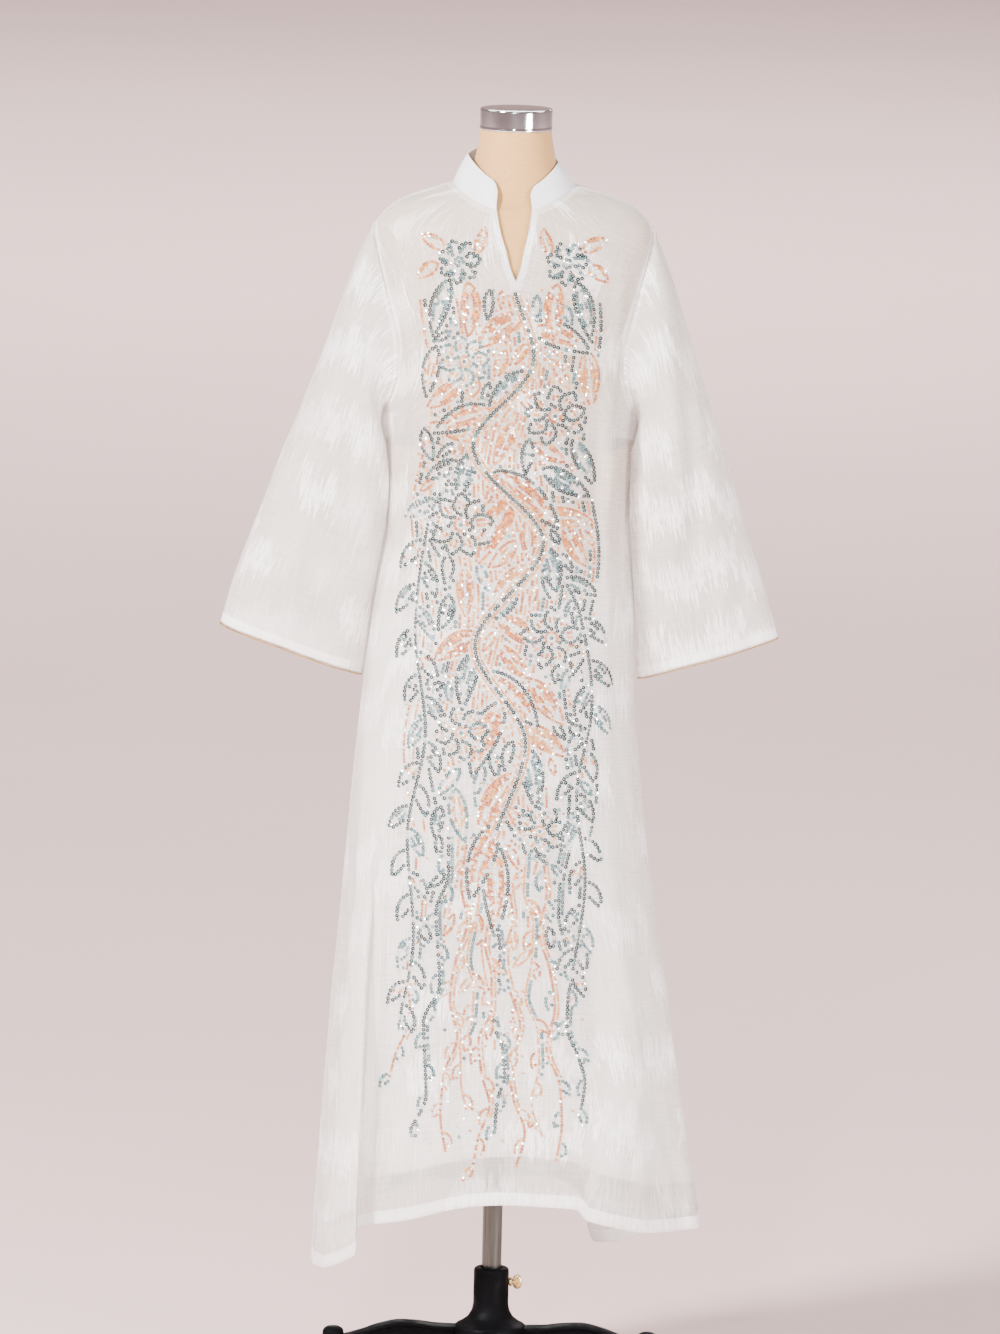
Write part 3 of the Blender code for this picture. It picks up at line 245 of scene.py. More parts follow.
def smooth_table(rows):
    """Give a function that reads all columns of a table at any values of its first column."""
    table = np.array(rows, float)
    keys, values = table[:, 0], table[:, 1:]
    slopes = np.diff(values, axis=0) / np.diff(keys)[:, None]
    tangents = np.vstack([slopes[:1], slopes[1:], slopes[-1:]])
    before, after = slopes[:-1], slopes[1:]
    steady = before * after > 0
    middle = np.zeros_like(before)
    middle[steady] = 2 * before[steady] * after[steady] / (before + after)[steady]
    tangents[1:-1] = middle

    def read(key):
        key = np.asarray(key, float)
        i = np.clip(np.searchsorted(keys, key) - 1, 0, len(keys) - 2)
        width = (keys[i + 1] - keys[i])[..., None]
        t = np.clip((key - keys[i])[..., None] / width, 0.0, 1.0)
        near = (1 + 2 * t) * (1 - t) ** 2 * values[i] + t * (1 - t) ** 2 * width * tangents[i]
        far = t * t * (3 - 2 * t) * values[i + 1] - t * t * (1 - t) * width * tangents[i + 1]
        return near + far

    return read


body_row = smooth_table(BODY_ROWS)
armhole_row = smooth_table(ARMHOLE_ROWS)
hem_row = smooth_table(HEM_ROWS)


def ease(share):
    """Go from 0 to 1 with level ends."""
    share = np.clip(share, 0.0, 1.0)
    return share * share * (3 - 2 * share)


def unit(vectors):
    return vectors / np.maximum(np.linalg.norm(vectors, axis=-1, keepdims=True), 1e-12)


def signed_power(value, power):
    return np.sign(value) * np.abs(value) ** power


def wrapped(angle):
    return (angle + 180.0) % 360.0 - 180.0


def finer(values, parts):
    """Put more values between each two, so that the gap between them is in so many parts."""
    steps = np.arange((len(values) - 1) * parts + 1) / parts
    return np.interp(steps, np.arange(len(values)), values)


def hem_height(angle):
    return hem_row(wrapped(np.asarray(angle)))[..., 0]


def armhole_half_angle(side_z):
    inside = (side_z > UNDERARM_Z) & (side_z < TIP_Z)
    return np.where(inside, armhole_row(side_z)[..., 0], 0.0)


def fold_shift(angle, height):
    """Add up what the large folds do to the cloth."""
    shift = np.zeros(np.broadcast(angle, height).shape + (3,))
    for start, peak, end, lean, low_none, low_full, high_full, high_none, out_x, out_y in FOLD_ROWS:
        turned = angle - lean * (height - float(hem_height(peak)))
        turned = start + wrapped(turned - start)
        across = ease((turned - start) / (peak - start)) * ease((end - turned) / (end - peak))
        up = ease((height - low_none) / (low_full - low_none))
        down = ease((high_none - height) / (high_none - high_full))
        shift += (across * up * down)[..., None] * np.array([out_x, out_y, 0.0])
    return shift


def body_point(angle, side_z, folded=1.0):
    """Give the outer face of the garment's body at angles and levels of the side seam."""
    angle, side_z = np.broadcast_arrays(np.asarray(angle, float), np.asarray(side_z, float))
    left, right, front, front_z, back, back_z, squareness = np.moveaxis(body_row(side_z), -1, 0)
    sine, cosine = np.sin(np.radians(angle)), np.cos(np.radians(angle))
    width = np.where(sine > 0, right, left)
    depth = np.where(cosine > 0, front, back)
    middle_z = np.where(cosine > 0, front_z, back_z)
    x = width * signed_power(sine, 2 / squareness)
    y = -depth * signed_power(cosine, 2 / squareness)
    z = side_z + (middle_z - side_z) * cosine * cosine
    return np.stack([x, y, z], -1) + np.asarray(folded)[..., None] * fold_shift(angle, z)


def body_face(angle, side_z, folded=1.0):
    """Give the points of the outer face and the directions that stand square on it."""
    turn, rise = 0.8, 0.003
    across = body_point(angle + turn, side_z, folded) - body_point(angle - turn, side_z, folded)
    high = np.minimum(side_z + rise, NECK_Z)
    up = body_point(angle, high, folded) - body_point(angle, high - 2 * rise, folded)
    return body_point(angle, side_z, folded), unit(np.cross(across, up))


def angle_at_x(x, side_z):
    """Give the angle near the front where the body's face has this x."""
    row = body_row(side_z)
    share = x / np.where(x > 0, row[..., 1], row[..., 0])
    return np.degrees(np.arcsin(signed_power(share, row[..., 6] / 2)))


def front_face(x, side_z):
    """Give the points and directions of the front's outer face at places across it."""
    return body_face(angle_at_x(x, side_z), side_z)


def slit_share(side_z):
    return (side_z - SLIT_LEVEL_Z) / (NECK_Z - SLIT_LEVEL_Z)


def slit_half_width(side_z):
    return SLIT_HALF_WIDTH * np.maximum(slit_share(side_z), 0.0) ** SLIT_CURVE


def centre_x(side_z):
    """Give the x of the middle of the front opening, and of the cloth just below it."""
    drift = (side_z - SLIT_DRIFT_FROM_Z) / (SLIT_LEVEL_Z - SLIT_DRIFT_FROM_Z)
    above = SLIT_APEX_X * (1 - slit_share(side_z))
    return np.where(side_z >= SLIT_LEVEL_Z, above, SLIT_APEX_X * ease(drift))


def leaned(column, height):
    """Give a front column's angle in the skirt, where the columns go with the leaning folds."""
    angle = np.array(column, float)
    hem = hem_height(column)
    rise = np.maximum(height - hem, 0.0)
    for first, full_from, full_to, last, lean, until, back in COLUMN_LEANS:
        near = ease((column - first) / (full_from - first)) * ease((last - column) / (last - full_to))
        held = ease((back - height) / (back - until))
        angle = angle + lean * np.minimum(rise, until - hem) * near * held
    return angle


def front_angle(column, side_z, side):
    """Give where the columns of one half of the front lie at levels of the side seam."""
    edge = angle_at_x(centre_x(side_z) + side * slit_half_width(side_z), side_z)
    reach = 90.0 - armhole_half_angle(side_z)
    panel = edge + side * np.abs(column) / 90.0 * (reach - side * edge)
    return np.where(side_z < UNDERARM_Z, leaned(column, side_z), panel)


def armhole_levels():
    """List the levels of the armhole's rows, underarm first and shoulder tip last."""
    low = (np.arange(45) / 45) ** ARMHOLE_CROWDING
    high = 1 - (1 - np.arange(17) / 16) ** 1.5
    return np.concatenate([
        UNDERARM_Z + (SLIT_LEVEL_Z - UNDERARM_Z) * low,
        SLIT_LEVEL_Z + (TIP_Z - SLIT_LEVEL_Z) * high,
    ])


def panel_levels(columns):
    """Give the level of each row of a panel at its columns, hem to neck."""
    shares = np.linspace(0.0, 1.0, SKIRT_ROWS + 1)[:-1, None]
    hem = hem_height(columns)[None, :]
    skirt = hem + (UNDERARM_Z - hem) * shares
    upper = np.concatenate([armhole_levels(), np.linspace(TIP_Z, NECK_Z, 18)[1:]])
    return np.vstack([skirt, np.repeat(upper[:, None], len(columns), axis=1)])


def run(grid, axis):
    """Give how far each point of a grid or line is from its first row or column, along the cloth."""
    steps = np.linalg.norm(np.diff(grid, axis=axis), axis=-1)
    start = np.zeros_like(np.take(steps, [0], axis=axis))
    return np.concatenate([start, np.cumsum(steps, axis=axis)], axis=axis)


def run_back(grid, axis):
    """Give how far each point of a grid is from its last row or column, along the cloth."""
    return np.flip(run(np.flip(grid, axis), axis), axis)


def read_along(steps, length, values):
    """Read points or directions that are known at lengths along a line at other lengths."""
    return np.stack([np.interp(steps, length, column) for column in values.T], -1)


def closed_round(grid):
    """Put the first column after the last one, so that a tube meets itself."""
    return np.concatenate([grid, grid[:, :1]], 1)


# Creases drawn as seen from the front, or from behind with x as it is from the front:
# width, height (below 0 it is a trough), then places (x, z) along it
FRONT_CREASES = (
    (0.013, 0.0050, (0.208, 1.500), (0.219, 1.370), (0.228, 1.257), (0.214, 1.110)),
    (0.011, -0.0040, (0.232, 1.470), (0.246, 1.330), (0.251, 1.220), (0.243, 1.120)),
    (0.009, -0.0040, (0.196, 1.352), (0.190, 1.320), (0.174, 1.268)),
    (0.011, 0.0030, (0.205, 1.330), (0.196, 1.250), (0.190, 1.150)),
    (0.017, 0.0034, (0.262, 1.300), (0.290, 1.190), (0.300, 1.060)),
    (0.011, 0.0030, (-0.180, 1.372), (-0.173, 1.300), (-0.172, 1.262)),
    (0.012, 0.0042, (-0.176, 1.262), (-0.184, 1.190), (-0.190, 1.060)),
    (0.012, -0.0032, (-0.206, 1.420), (-0.214, 1.250), (-0.224, 1.110)),
    (0.018, 0.0036, (-0.236, 1.440), (-0.268, 1.270), (-0.296, 1.070)),
    (0.016, -0.0030, (-0.262, 1.400), (-0.306, 1.230), (-0.338, 1.100)),
    (0.012, 0.0028, (0.145, 1.600), (0.146, 1.520), (0.143, 1.440)),
    (0.012, 0.0024, (-0.146, 1.590), (-0.148, 1.500), (-0.146, 1.420)),
    (0.013, 0.0038, (0.108, 1.480), (0.146, 1.256), (0.157, 1.099), (0.176, 0.930)),
    (0.014, -0.0036, (0.124, 1.290), (0.134, 1.130), (0.146, 0.940)),
    (0.014, 0.0034, (-0.140, 1.330), (-0.146, 1.180), (-0.158, 0.960), (-0.176, 0.720)),
    (0.014, -0.0030, (-0.122, 1.250), (-0.128, 1.060), (-0.142, 0.800)),
    (0.020, 0.0050, (-0.150, 0.900), (-0.170, 0.640), (-0.190, 0.330)),
    (0.019, -0.0052, (-0.116, 0.860), (-0.134, 0.600), (-0.150, 0.290)),
    (0.022, 0.0040, (-0.060, 0.700), (-0.068, 0.500), (-0.078, 0.290)),
    (0.020, -0.0034, (0.034, 0.640), (0.042, 0.480), (0.052, 0.320)),
    (0.022, 0.0044, (0.140, 0.860), (0.170, 0.600), (0.205, 0.280)),
    (0.019, -0.0046, (0.118, 0.760), (0.136, 0.560), (0.158, 0.400)),
    (0.018, -0.0040, (0.196, 0.760), (0.224, 0.540), (0.258, 0.290)),
    (0.010, 0.0022, (0.090, 0.292), (0.120, 0.350), (0.160, 0.440)),
)
BACK_CREASES = (
    (0.012, 0.0036, (-0.208, 1.490), (-0.218, 1.350), (-0.226, 1.220), (-0.222, 1.080)),
    (0.014, -0.0034, (-0.238, 1.430), (-0.262, 1.260), (-0.284, 1.080)),
    (0.013, 0.0038, (0.204, 1.480), (0.214, 1.340), (0.222, 1.200), (0.214, 1.070)),
    (0.014, -0.0032, (0.232, 1.420), (0.256, 1.250), (0.276, 1.080)),
    (0.013, 0.0034, (-0.110, 1.520), (-0.122, 1.360), (-0.118, 1.180), (-0.136, 0.960)),
    (0.013, -0.0030, (-0.070, 1.470), (-0.066, 1.300), (-0.076, 1.060)),
    (0.013, 0.0030, (0.120, 1.500), (0.124, 1.330), (0.116, 1.160), (0.140, 0.930)),
    (0.012, -0.0028, (0.058, 1.430), (0.052, 1.260), (0.066, 1.020)),
    (0.018, 0.0030, (0.004, 1.300), (-0.004, 1.060), (0.002, 0.760)),
    (0.020, 0.0046, (-0.160, 0.880), (-0.178, 0.620), (-0.204, 0.280)),
    (0.020, -0.0042, (-0.110, 0.840), (-0.124, 0.560), (-0.140, 0.300)),
    (0.020, 0.0044, (0.150, 0.900), (0.176, 0.620), (0.212, 0.300)),
    (0.020, -0.0044, (0.096, 0.820), (0.110, 0.560), (0.128, 0.310)),
    (0.018, -0.0034, (0.212, 0.700), (0.238, 0.500), (0.262, 0.300)),
)


def crease(x, z, width, height, *places):
    """Give one crease's height at x and z: a rounded ridge along its line, fading to its two ends."""
    nearest = np.full(x.shape, 1e9)
    along = np.zeros(x.shape)
    line = np.array(places)
    done = run(line, 0)
    for i, length in enumerate(np.linalg.norm(np.diff(line, axis=0), axis=1)):
        way = (line[i + 1] - line[i]) / length
        t = np.clip((x - line[i, 0]) * way[0] + (z - line[i, 1]) * way[1], 0.0, length)
        gap = np.hypot(x - line[i, 0] - t * way[0], z - line[i, 1] - t * way[1])
        closer = gap < nearest
        nearest = np.where(closer, gap, nearest)
        along = np.where(closer, done[i] + t, along)
    share = along / done[-1]
    fade = ease(share / 0.3) * ease((1 - share) / 0.3)
    return height * fade * np.exp(-((nearest / width) ** 2))


def ripple(value, length, start=0.0):
    return np.sin(2 * math.pi * (value / length + start))


def all_creases(points, normals):
    """Give how far the creases stand off the plain form."""
    x, z = points[..., 0], points[..., 2]
    to_front = np.clip(-1.6 * normals[..., 1], 0.0, 1.0)
    to_back = np.clip(1.6 * normals[..., 1], 0.0, 1.0)
    height = sum(crease(x, z, *row) for row in FRONT_CREASES) * to_front
    return height + sum(crease(x, z, *row) for row in BACK_CREASES) * to_back


def relief(points, normals, flat, softness):
    """Give how far the cloth stands off its plain form: the creases, then soft uneven ridges."""
    u, v = flat[..., 0], flat[..., 1]
    height = all_creases(points, normals)
    long_ridge = ripple(u + 0.016 * ripple(v, 0.83, 0.2), 0.118, 0.13)
    short_ridge = ripple(u + 0.010 * ripple(v, 0.47, 0.6), 0.049, 0.41) * ripple(v + 0.3 * u, 0.39)
    patch = ripple(v + 0.07 * ripple(u, 0.21), 0.152, 0.3) * ripple(u, 0.093, 0.7)
    return height + softness * (0.55 * long_ridge + 0.3 * short_ridge + 0.25 * patch)


class Cloth:
    """Points, faces, flat places and seam distances of one piece of cloth while it is cut."""

    def __init__(self):
        self.points, self.seams, self.faces, self.flat = [], [], [], []

    def place(self, grid, seam):
        """Add a grid of points with their distance from a seam, and give their numbers."""
        first = sum(len(p) for p in self.points)
        self.points.append(grid.reshape(-1, 3))
        self.seams.append(np.broadcast_to(seam, grid.shape[:-1]).reshape(-1))
        return first + np.arange(grid[..., 0].size).reshape(grid.shape[:-1])

    def weave(self, numbers, flat):
        """Put faces between rows of numbers, seen from outside with rows going up and right."""
        near, far = slice(None, -1), slice(1, None)
        corners = ((near, near), (near, far), (far, far), (far, near))
        self.faces.append(np.stack([numbers[c] for c in corners], -1).reshape(-1, 4))
        self.flat.append(np.stack([flat[c] for c in corners], -2).reshape(-1, 2))

    def build(self, name, material):
        points, faces = np.concatenate(self.points), np.concatenate(self.faces)
        piece = mesh_piece(name, points, faces, material)
        mesh = piece.data
        layer = mesh.uv_layers.new(name="flat")
        layer.data.foreach_set("uv", np.concatenate(self.flat).astype(np.float32).ravel())
        mark = mesh.attributes.new("seam_distance", "FLOAT", "POINT")
        mark.data.foreach_set("value", np.concatenate(self.seams).astype(np.float32))
        return piece


def mesh_piece(name, points, faces, material, sharp=None):
    """Make a smooth piece, with sharp edges where faces meet at more than an angle in degrees."""
    mesh = bpy.data.meshes.new(name)
    mesh.from_pydata(np.asarray(points).tolist(), [], [list(map(int, face)) for face in faces])
    mesh.validate()
    mesh.shade_smooth()
    if sharp:
        mesh.set_sharp_from_angle(angle=math.radians(sharp))
    if material:
        mesh.materials.append(material)
    piece = bpy.data.objects.new(name, mesh)
    bpy.context.scene.collection.objects.link(piece)
    return piece


def settle(piece):
    """Turn a piece with modifiers into a plain mesh."""
    evaluated = piece.evaluated_get(bpy.context.evaluated_depsgraph_get())
    mesh = bpy.data.meshes.new_from_object(evaluated)
    old = piece.data
    piece.modifiers.clear()
    piece.data = mesh
    mesh.name = piece.name
    bpy.data.meshes.remove(old)
    return piece


def proud_of(points, normals, flat, seam, softness):
    """Lift the cloth off its plain form, except along the seams, where it is held down."""
    welt = PROUD * (1 - np.exp(-((seam / SEAM_WELT) ** 2)))
    calm = 1 - np.exp(-((seam / SEAM_CALM) ** 2))
    height = relief(points, normals, flat, softness)
    aside = ease((np.abs(points[..., 0]) - BESIDE_SLEEVE_X) / 0.03)
    high_up = ease((points[..., 2] - BESIDE_SLEEVE_Z) / 0.1)
    facing_out = np.clip(np.abs(normals[..., 0]) * 1.4 - 0.4, 0.0, 1.0)
    height = height * (1 - BESIDE_SLEEVE_CALM * (aside * high_up) * facing_out)
    pucker = PUCKER_HEIGHT * np.exp(-((seam / PUCKER_WIDTH) ** 2)) * ripple(flat[..., 1], PUCKER_LENGTH)
    return points + normals * (welt + calm * height + (1 - calm) * pucker * (seam > 0))[..., None]


def body_softness(points):
    """Give how uneven the cloth of the body is: calm on the shoulders, looser towards the hem."""
    low = np.clip((1.30 - points[..., 2]) / 1.0, 0.0, 1.0)
    return 0.0006 + 0.0034 * low


def rows_above(distances, grid, *fields):
    """Give the lines on a panel that stay at some distances above its hem, one array for each field."""
    rise = run(grid, 0)
    columns = range(grid.shape[1])
    return [
        np.stack([read_along(distances, rise[:, c], field[:, c]) for c in columns], 1)
        for field in fields
    ]


def turned_up(grid, normals, flat, depth):
    """Give the rows of a hem turned up inside, from its sewn edge down to the fold."""
    up = depth * np.array(HEM_ROW_SHARES)
    inside, out, places = rows_above(up, grid, grid, normals, flat)
    inside = inside - TURNED_GAP * out
    fold = grid[:1] - 0.5 * TURNED_GAP * normals[:1] - np.array([0.0, 0.0, 0.0004])
    return np.concatenate([inside, fold]), np.concatenate([places, flat[:1]])


def place_panel(cloth, columns, plain, normals, seam):
    """Put a panel of the body into the cloth, with its hem turned up.

    It gives the points' numbers and flat places, and the panel without its hem.
    """
    u = np.broadcast_to(columns / 90.0 * PANEL_QUARTER, seam.shape)
    flat = np.stack([u, run(plain, 0)], -1)
    grid = proud_of(plain, normals, flat, seam, body_softness(plain))
    hem, hem_flat = turned_up(grid, normals, flat, SKIRT_HEM)
    marks = np.concatenate([np.ones(hem.shape[:2]), seam])
    numbers = cloth.place(np.concatenate([hem, grid]), marks)
    return numbers, np.concatenate([hem_flat, flat]), (grid, normals)


def build_front(material):
    """Make the front: one panel from hem to neck, slit at the top and turned up at the hem."""
    cloth = Cloth()
    halves = []
    for side in (-1, 1):
        columns = finer([c for c in FRONT_COLUMNS if c * side >= 0], FINE_COLUMNS)
        levels = panel_levels(columns)
        plain, normals = body_face(front_angle(columns[None, :], levels, side), levels)
        outer, inner = run(plain, 1), run_back(plain, 1)
        if side > 0:
            outer, inner = inner, outer
        in_slit = levels > SLIT_LEVEL_Z + 1e-6
        seam = np.minimum(np.minimum(outer, run_back(plain, 0)), np.where(in_slit, inner, 1.0))
        halves.append(place_panel(cloth, columns, plain, normals, seam))
    (left, left_flat, left_sheet), (right, right_flat, right_sheet) = halves
    open_rows = np.count_nonzero(in_slit[:, 0])
    right[:-open_rows, 0] = left[:-open_rows, -1]
    cloth.weave(left, left_flat)
    cloth.weave(right, right_flat)
    return drop_loose(cloth.build("front_gauze", material)), (left_sheet, right_sheet)


def drop_loose(piece):
    """Delete the points that no face uses."""
    mesh = bmesh.new()
    mesh.from_mesh(piece.data)
    loose = [v for v in mesh.verts if not v.link_faces]
    bmesh.ops.delete(mesh, geom=loose, context="VERTS")
    mesh.to_mesh(piece.data)
    mesh.free()
    return piece


def build_back(material):
    """Make the back: one panel from hem to neck, turned up at the hem."""
    columns = finer(BACK_COLUMNS, FINE_COLUMNS)
    levels = panel_levels(columns)
    reach = 90.0 - armhole_half_angle(levels)
    angles = 180.0 + (columns[None, :] - 180.0) / 90.0 * reach
    plain, normals = body_face(angles, levels)
    sides = np.minimum(run(plain, 1), run_back(plain, 1))
    cloth = Cloth()
    numbers, flat, sheet = place_panel(cloth, columns, plain, normals, np.minimum(sides, run_back(plain, 0)))
    cloth.weave(numbers, flat)
    return cloth.build("back_gauze", material), sheet


def clear_of_body(points, clearance):
    """Move points out, level, until they are clear of the body's outer face."""
    x, y, z = np.moveaxis(points, -1, 0)
    left, right, front, _, back, _, squareness = np.moveaxis(body_row(z), -1, 0)
    across = (np.abs(x) / np.where(x > 0, right, left)) ** (squareness / 2)
    along = (np.abs(y) / np.where(y < 0, front, back)) ** (squareness / 2)
    angle = np.degrees(np.arctan2(np.copysign(across, x), np.copysign(along, -y)))
    face = body_point(angle, z)
    wanted = np.hypot(face[..., 0], face[..., 1]) + clearance
    scale = np.maximum(wanted / np.hypot(x, y), 1.0)
    return np.stack([x * scale, y * scale, z], -1)


def build_sleeve(name, side, table, material):
    """Make a sleeve: a flared tube from the armhole to the cuff, turned in at the cuff."""
    levels = armhole_levels()[::-1]
    half = armhole_half_angle(levels)
    loop_z = np.concatenate([levels, levels[-2:0:-1]])
    loop_angle = side * 90.0 + np.concatenate([-half, half[-2:0:-1]])
    share = (loop_z - UNDERARM_Z) / (TIP_Z - UNDERARM_Z)
    turn = np.arccos(np.clip(2 * share - 1, -1.0, 1.0))
    going_down = np.arange(len(loop_z)) < len(levels)
    turn = np.where(going_down == (side > 0), turn, -turn)
    edge = body_point(loop_angle, loop_z)
    stations = LAST_STATION * np.linspace(0.0, 1.0, SLEEVE_ROWS) ** 1.15
    rows = smooth_table(table)(stations)[:, None, :]
    outer_x, outer_z, inner_x, inner_z, front, back, squareness = np.moveaxis(rows, -1, 0)
    along = signed_power(np.cos(turn)[None, :], 2 / squareness)
    across = signed_power(np.sin(turn)[None, :], 2 / squareness)
    x = (outer_x + inner_x) / 2 + (outer_x - inner_x) / 2 * along
    z = (outer_z + inner_z) / 2 + (outer_z - inner_z) / 2 * along
    ring = np.stack([side * x, -np.where(across > 0, front, back) * across, z], -1)
    mix = ease(stations / SLEEVE_HEAD_STATIONS)[:, None, None]
    clearance = SLEEVE_CLEARANCE * np.minimum(1.0, 0.5 + stations / 2)[:, None]
    plain = clear_of_body(edge[None] * (1 - mix) + ring * mix, clearance)
    plain[0] = edge
    down = np.gradient(plain, axis=0)
    round_ = np.roll(plain, -1, axis=1) - np.roll(plain, 1, axis=1)
    normals = unit(np.cross(round_, down))
    seam = run(plain, 0)
    v = closed_round(seam[-1:] - seam)
    u = np.broadcast_to(run(closed_round(plain), 1)[SLEEVE_MIDDLE_ROW], v.shape)
    flat = np.stack([u, v], -1)
    softness = 0.0007 + 0.0015 * (stations / LAST_STATION)[:, None]
    grid = proud_of(plain, normals, flat[:, :-1], seam, softness)
    inside = stations > LAST_STATION - CUFF_HEM_STATIONS
    inside[-1] = False
    hem = grid[inside][::-1] - TURNED_GAP * normals[inside][::-1]
    cloth = Cloth()
    numbers = cloth.place(np.concatenate([grid, hem]), np.concatenate([seam, np.ones(hem.shape[:2])]))
    cloth.weave(closed_round(numbers), np.concatenate([flat, flat[inside][::-1]]))
    return cloth.build(name, material), (grid, normals)


def collar_line(angle):
    """Give points of the collar's upper edge."""
    turned = np.radians(180.0 + (angle - 180.0) * (1 - COLLAR_END_TURN / 160.0))
    sine, cosine = np.sin(turned), np.cos(turned)
    right, left = np.array(COLLAR_TOP_RIGHT), np.array(COLLAR_TOP_LEFT)
    row = np.where((sine > 0)[:, None], right, left)
    width, side_z, front, front_z, back, back_z = row.T
    middle_z = np.where(cosine > 0, front_z, back_z)
    z = side_z + (middle_z - side_z) * cosine * cosine
    return np.stack([width * sine, -np.where(cosine > 0, front, back) * cosine, z], -1)


def build_collar(material):
    """Make the stand collar, of two layers, open at the front with rounded corners."""
    start = angle_at_x(np.array(SLIT_HALF_WIDTH), np.array(NECK_Z))
    end = 360.0 + angle_at_x(np.array(-SLIT_HALF_WIDTH), np.array(NECK_Z))
    near = np.linspace(0.0, 0.12, 22)[:-1]
    shares = np.concatenate([near, np.linspace(0.12, 0.88, 110), 1 - near[::-1]])
    angles = start + (end - start) * shares
    foot = body_point(angles, np.full(angles.shape, NECK_Z))
    top = collar_line(angles)
    from_start = run(foot, 0)
    gap = np.minimum(from_start, from_start[-1] - from_start)
    heights = smooth_table(COLLAR_CORNER)(np.minimum(gap, COLLAR_CORNER[-1][0]))[:, 0]
    rows = []
    for share in np.linspace(0.0, 1.0, 15):
        reach = (share * heights)[:, None]
        line = foot * (1 - reach) + top * reach
        line[:, :2] *= 1 + COLLAR_SWELL * math.sin(math.pi * share)
        rows.append(line)
    grid = np.array(rows)
    normals = unit(np.cross(np.gradient(grid, axis=1), np.gradient(grid, axis=0)))
    u = np.broadcast_to(from_start, grid.shape[:2])
    flat = np.stack([u, run(grid, 0)], -1)
    wave = 0.0005 * ripple(u, 0.071, 0.2) * np.linspace(0, 1, len(grid))[:, None]
    grid = grid + normals * wave[..., None]
    cloth = Cloth()
    cloth.weave(cloth.place(grid, 1.0), flat)
    piece = cloth.build("collar_band", material)
    solid = piece.modifiers.new("layers", "SOLIDIFY")
    solid.thickness = COLLAR_CLOTH
    solid.offset = -1.0
    bevel = piece.modifiers.new("edges", "BEVEL")
    bevel.width = 0.0006
    bevel.segments = 2
    return settle(piece), (grid, normals)


def build_facing(material):
    """Make the facing: strips that roll in over the slit's edges and join below its foot."""
    cloth = Cloth()
    open_z = np.linspace(SLIT_LEVEL_Z, NECK_Z, 40)
    reach = np.array([-0.0003, -0.0007, 0.0, 0.0015, 0.004, 0.007, FACING_WIDTH])
    sunk = np.array([0.0, 0.0009] + 5 * [FACING_SUNK])
    level = np.repeat(open_z[:, None], len(reach), 1)
    flat = np.stack([np.broadcast_to(reach, level.shape), level], -1)
    for side in (-1, 1):
        edge_x = centre_x(open_z) + side * slit_half_width(open_z)
        points, normals = front_face(edge_x[:, None] + side * reach, level)
        grid = points + (FACING_PROUD - sunk)[:, None] * normals
        numbers = cloth.place(grid[::side], 1.0)
        cloth.weave(numbers[:, ::-1], flat[::side, ::-1])
    low_z = np.linspace(SLIT_LEVEL_Z - FACING_BELOW_SLIT, SLIT_LEVEL_Z, 8)
    share = np.linspace(-1.0, 1.0, 13)
    width = FACING_WIDTH * (FACING_FOOT_SHARE + (1 - FACING_FOOT_SHARE) * np.linspace(0, 1, 8))
    x = centre_x(low_z)[:, None] + share * width[:, None]
    level = np.repeat(low_z[:, None], len(share), 1)
    points, normals = front_face(x, level)
    grid = points + (FACING_PROUD - FACING_SUNK) * normals
    cloth.weave(cloth.place(grid, 1.0), np.stack([x, level], -1))
    return cloth.build("slit_facing_strips", material)


def build_lining(material):
    """Make the lining: a plain slip inside the skirt with a narrow hem, open at both ends."""
    columns = np.linspace(-90.0, 270.0, LINING_COLUMNS, endpoint=False)
    hem = hem_height(columns)
    low = hem + LINING_SHORTER
    top = hem + (UNDERARM_Z - hem) * LINING_TOP_SHARE
    height = low + (top - low) * np.linspace(0.0, 1.0, LINING_ROWS)[:, None]
    inset = LINING_GAP + LINING_GAP_BELOW_TOP * ease((top - height) / 0.120)
    inset = inset + LINING_FOLD_ROOM * ease((1.050 - height) / 0.450)
    plain, normals = body_face(columns, height, ease((height - 1.000) / 0.200))
    trough = np.minimum(all_creases(plain, normals), 0.0)
    grid = plain + (trough - inset)[..., None] * normals
    u = np.broadcast_to(columns / 90.0 * LINING_QUARTER, height.shape)
    flat = np.stack([u, run(grid, 0)], -1)
    soft = 0.0007 * ripple(u + 0.01 * ripple(flat[..., 1], 0.6), 0.13) * ease((top - height) / 0.2)
    grid = grid + normals * soft[..., None]
    turned, turned_flat = turned_up(grid, normals, flat, LINING_HEM)
    places = np.concatenate([turned_flat, flat])
    last = places[:, :1] + np.array([4 * LINING_QUARTER, 0.0])
    cloth = Cloth()
    numbers = cloth.place(np.concatenate([turned, grid]), 1.0)
    cloth.weave(closed_round(numbers), np.concatenate([places, last], 1))
    return cloth.build("lining_slip", material)


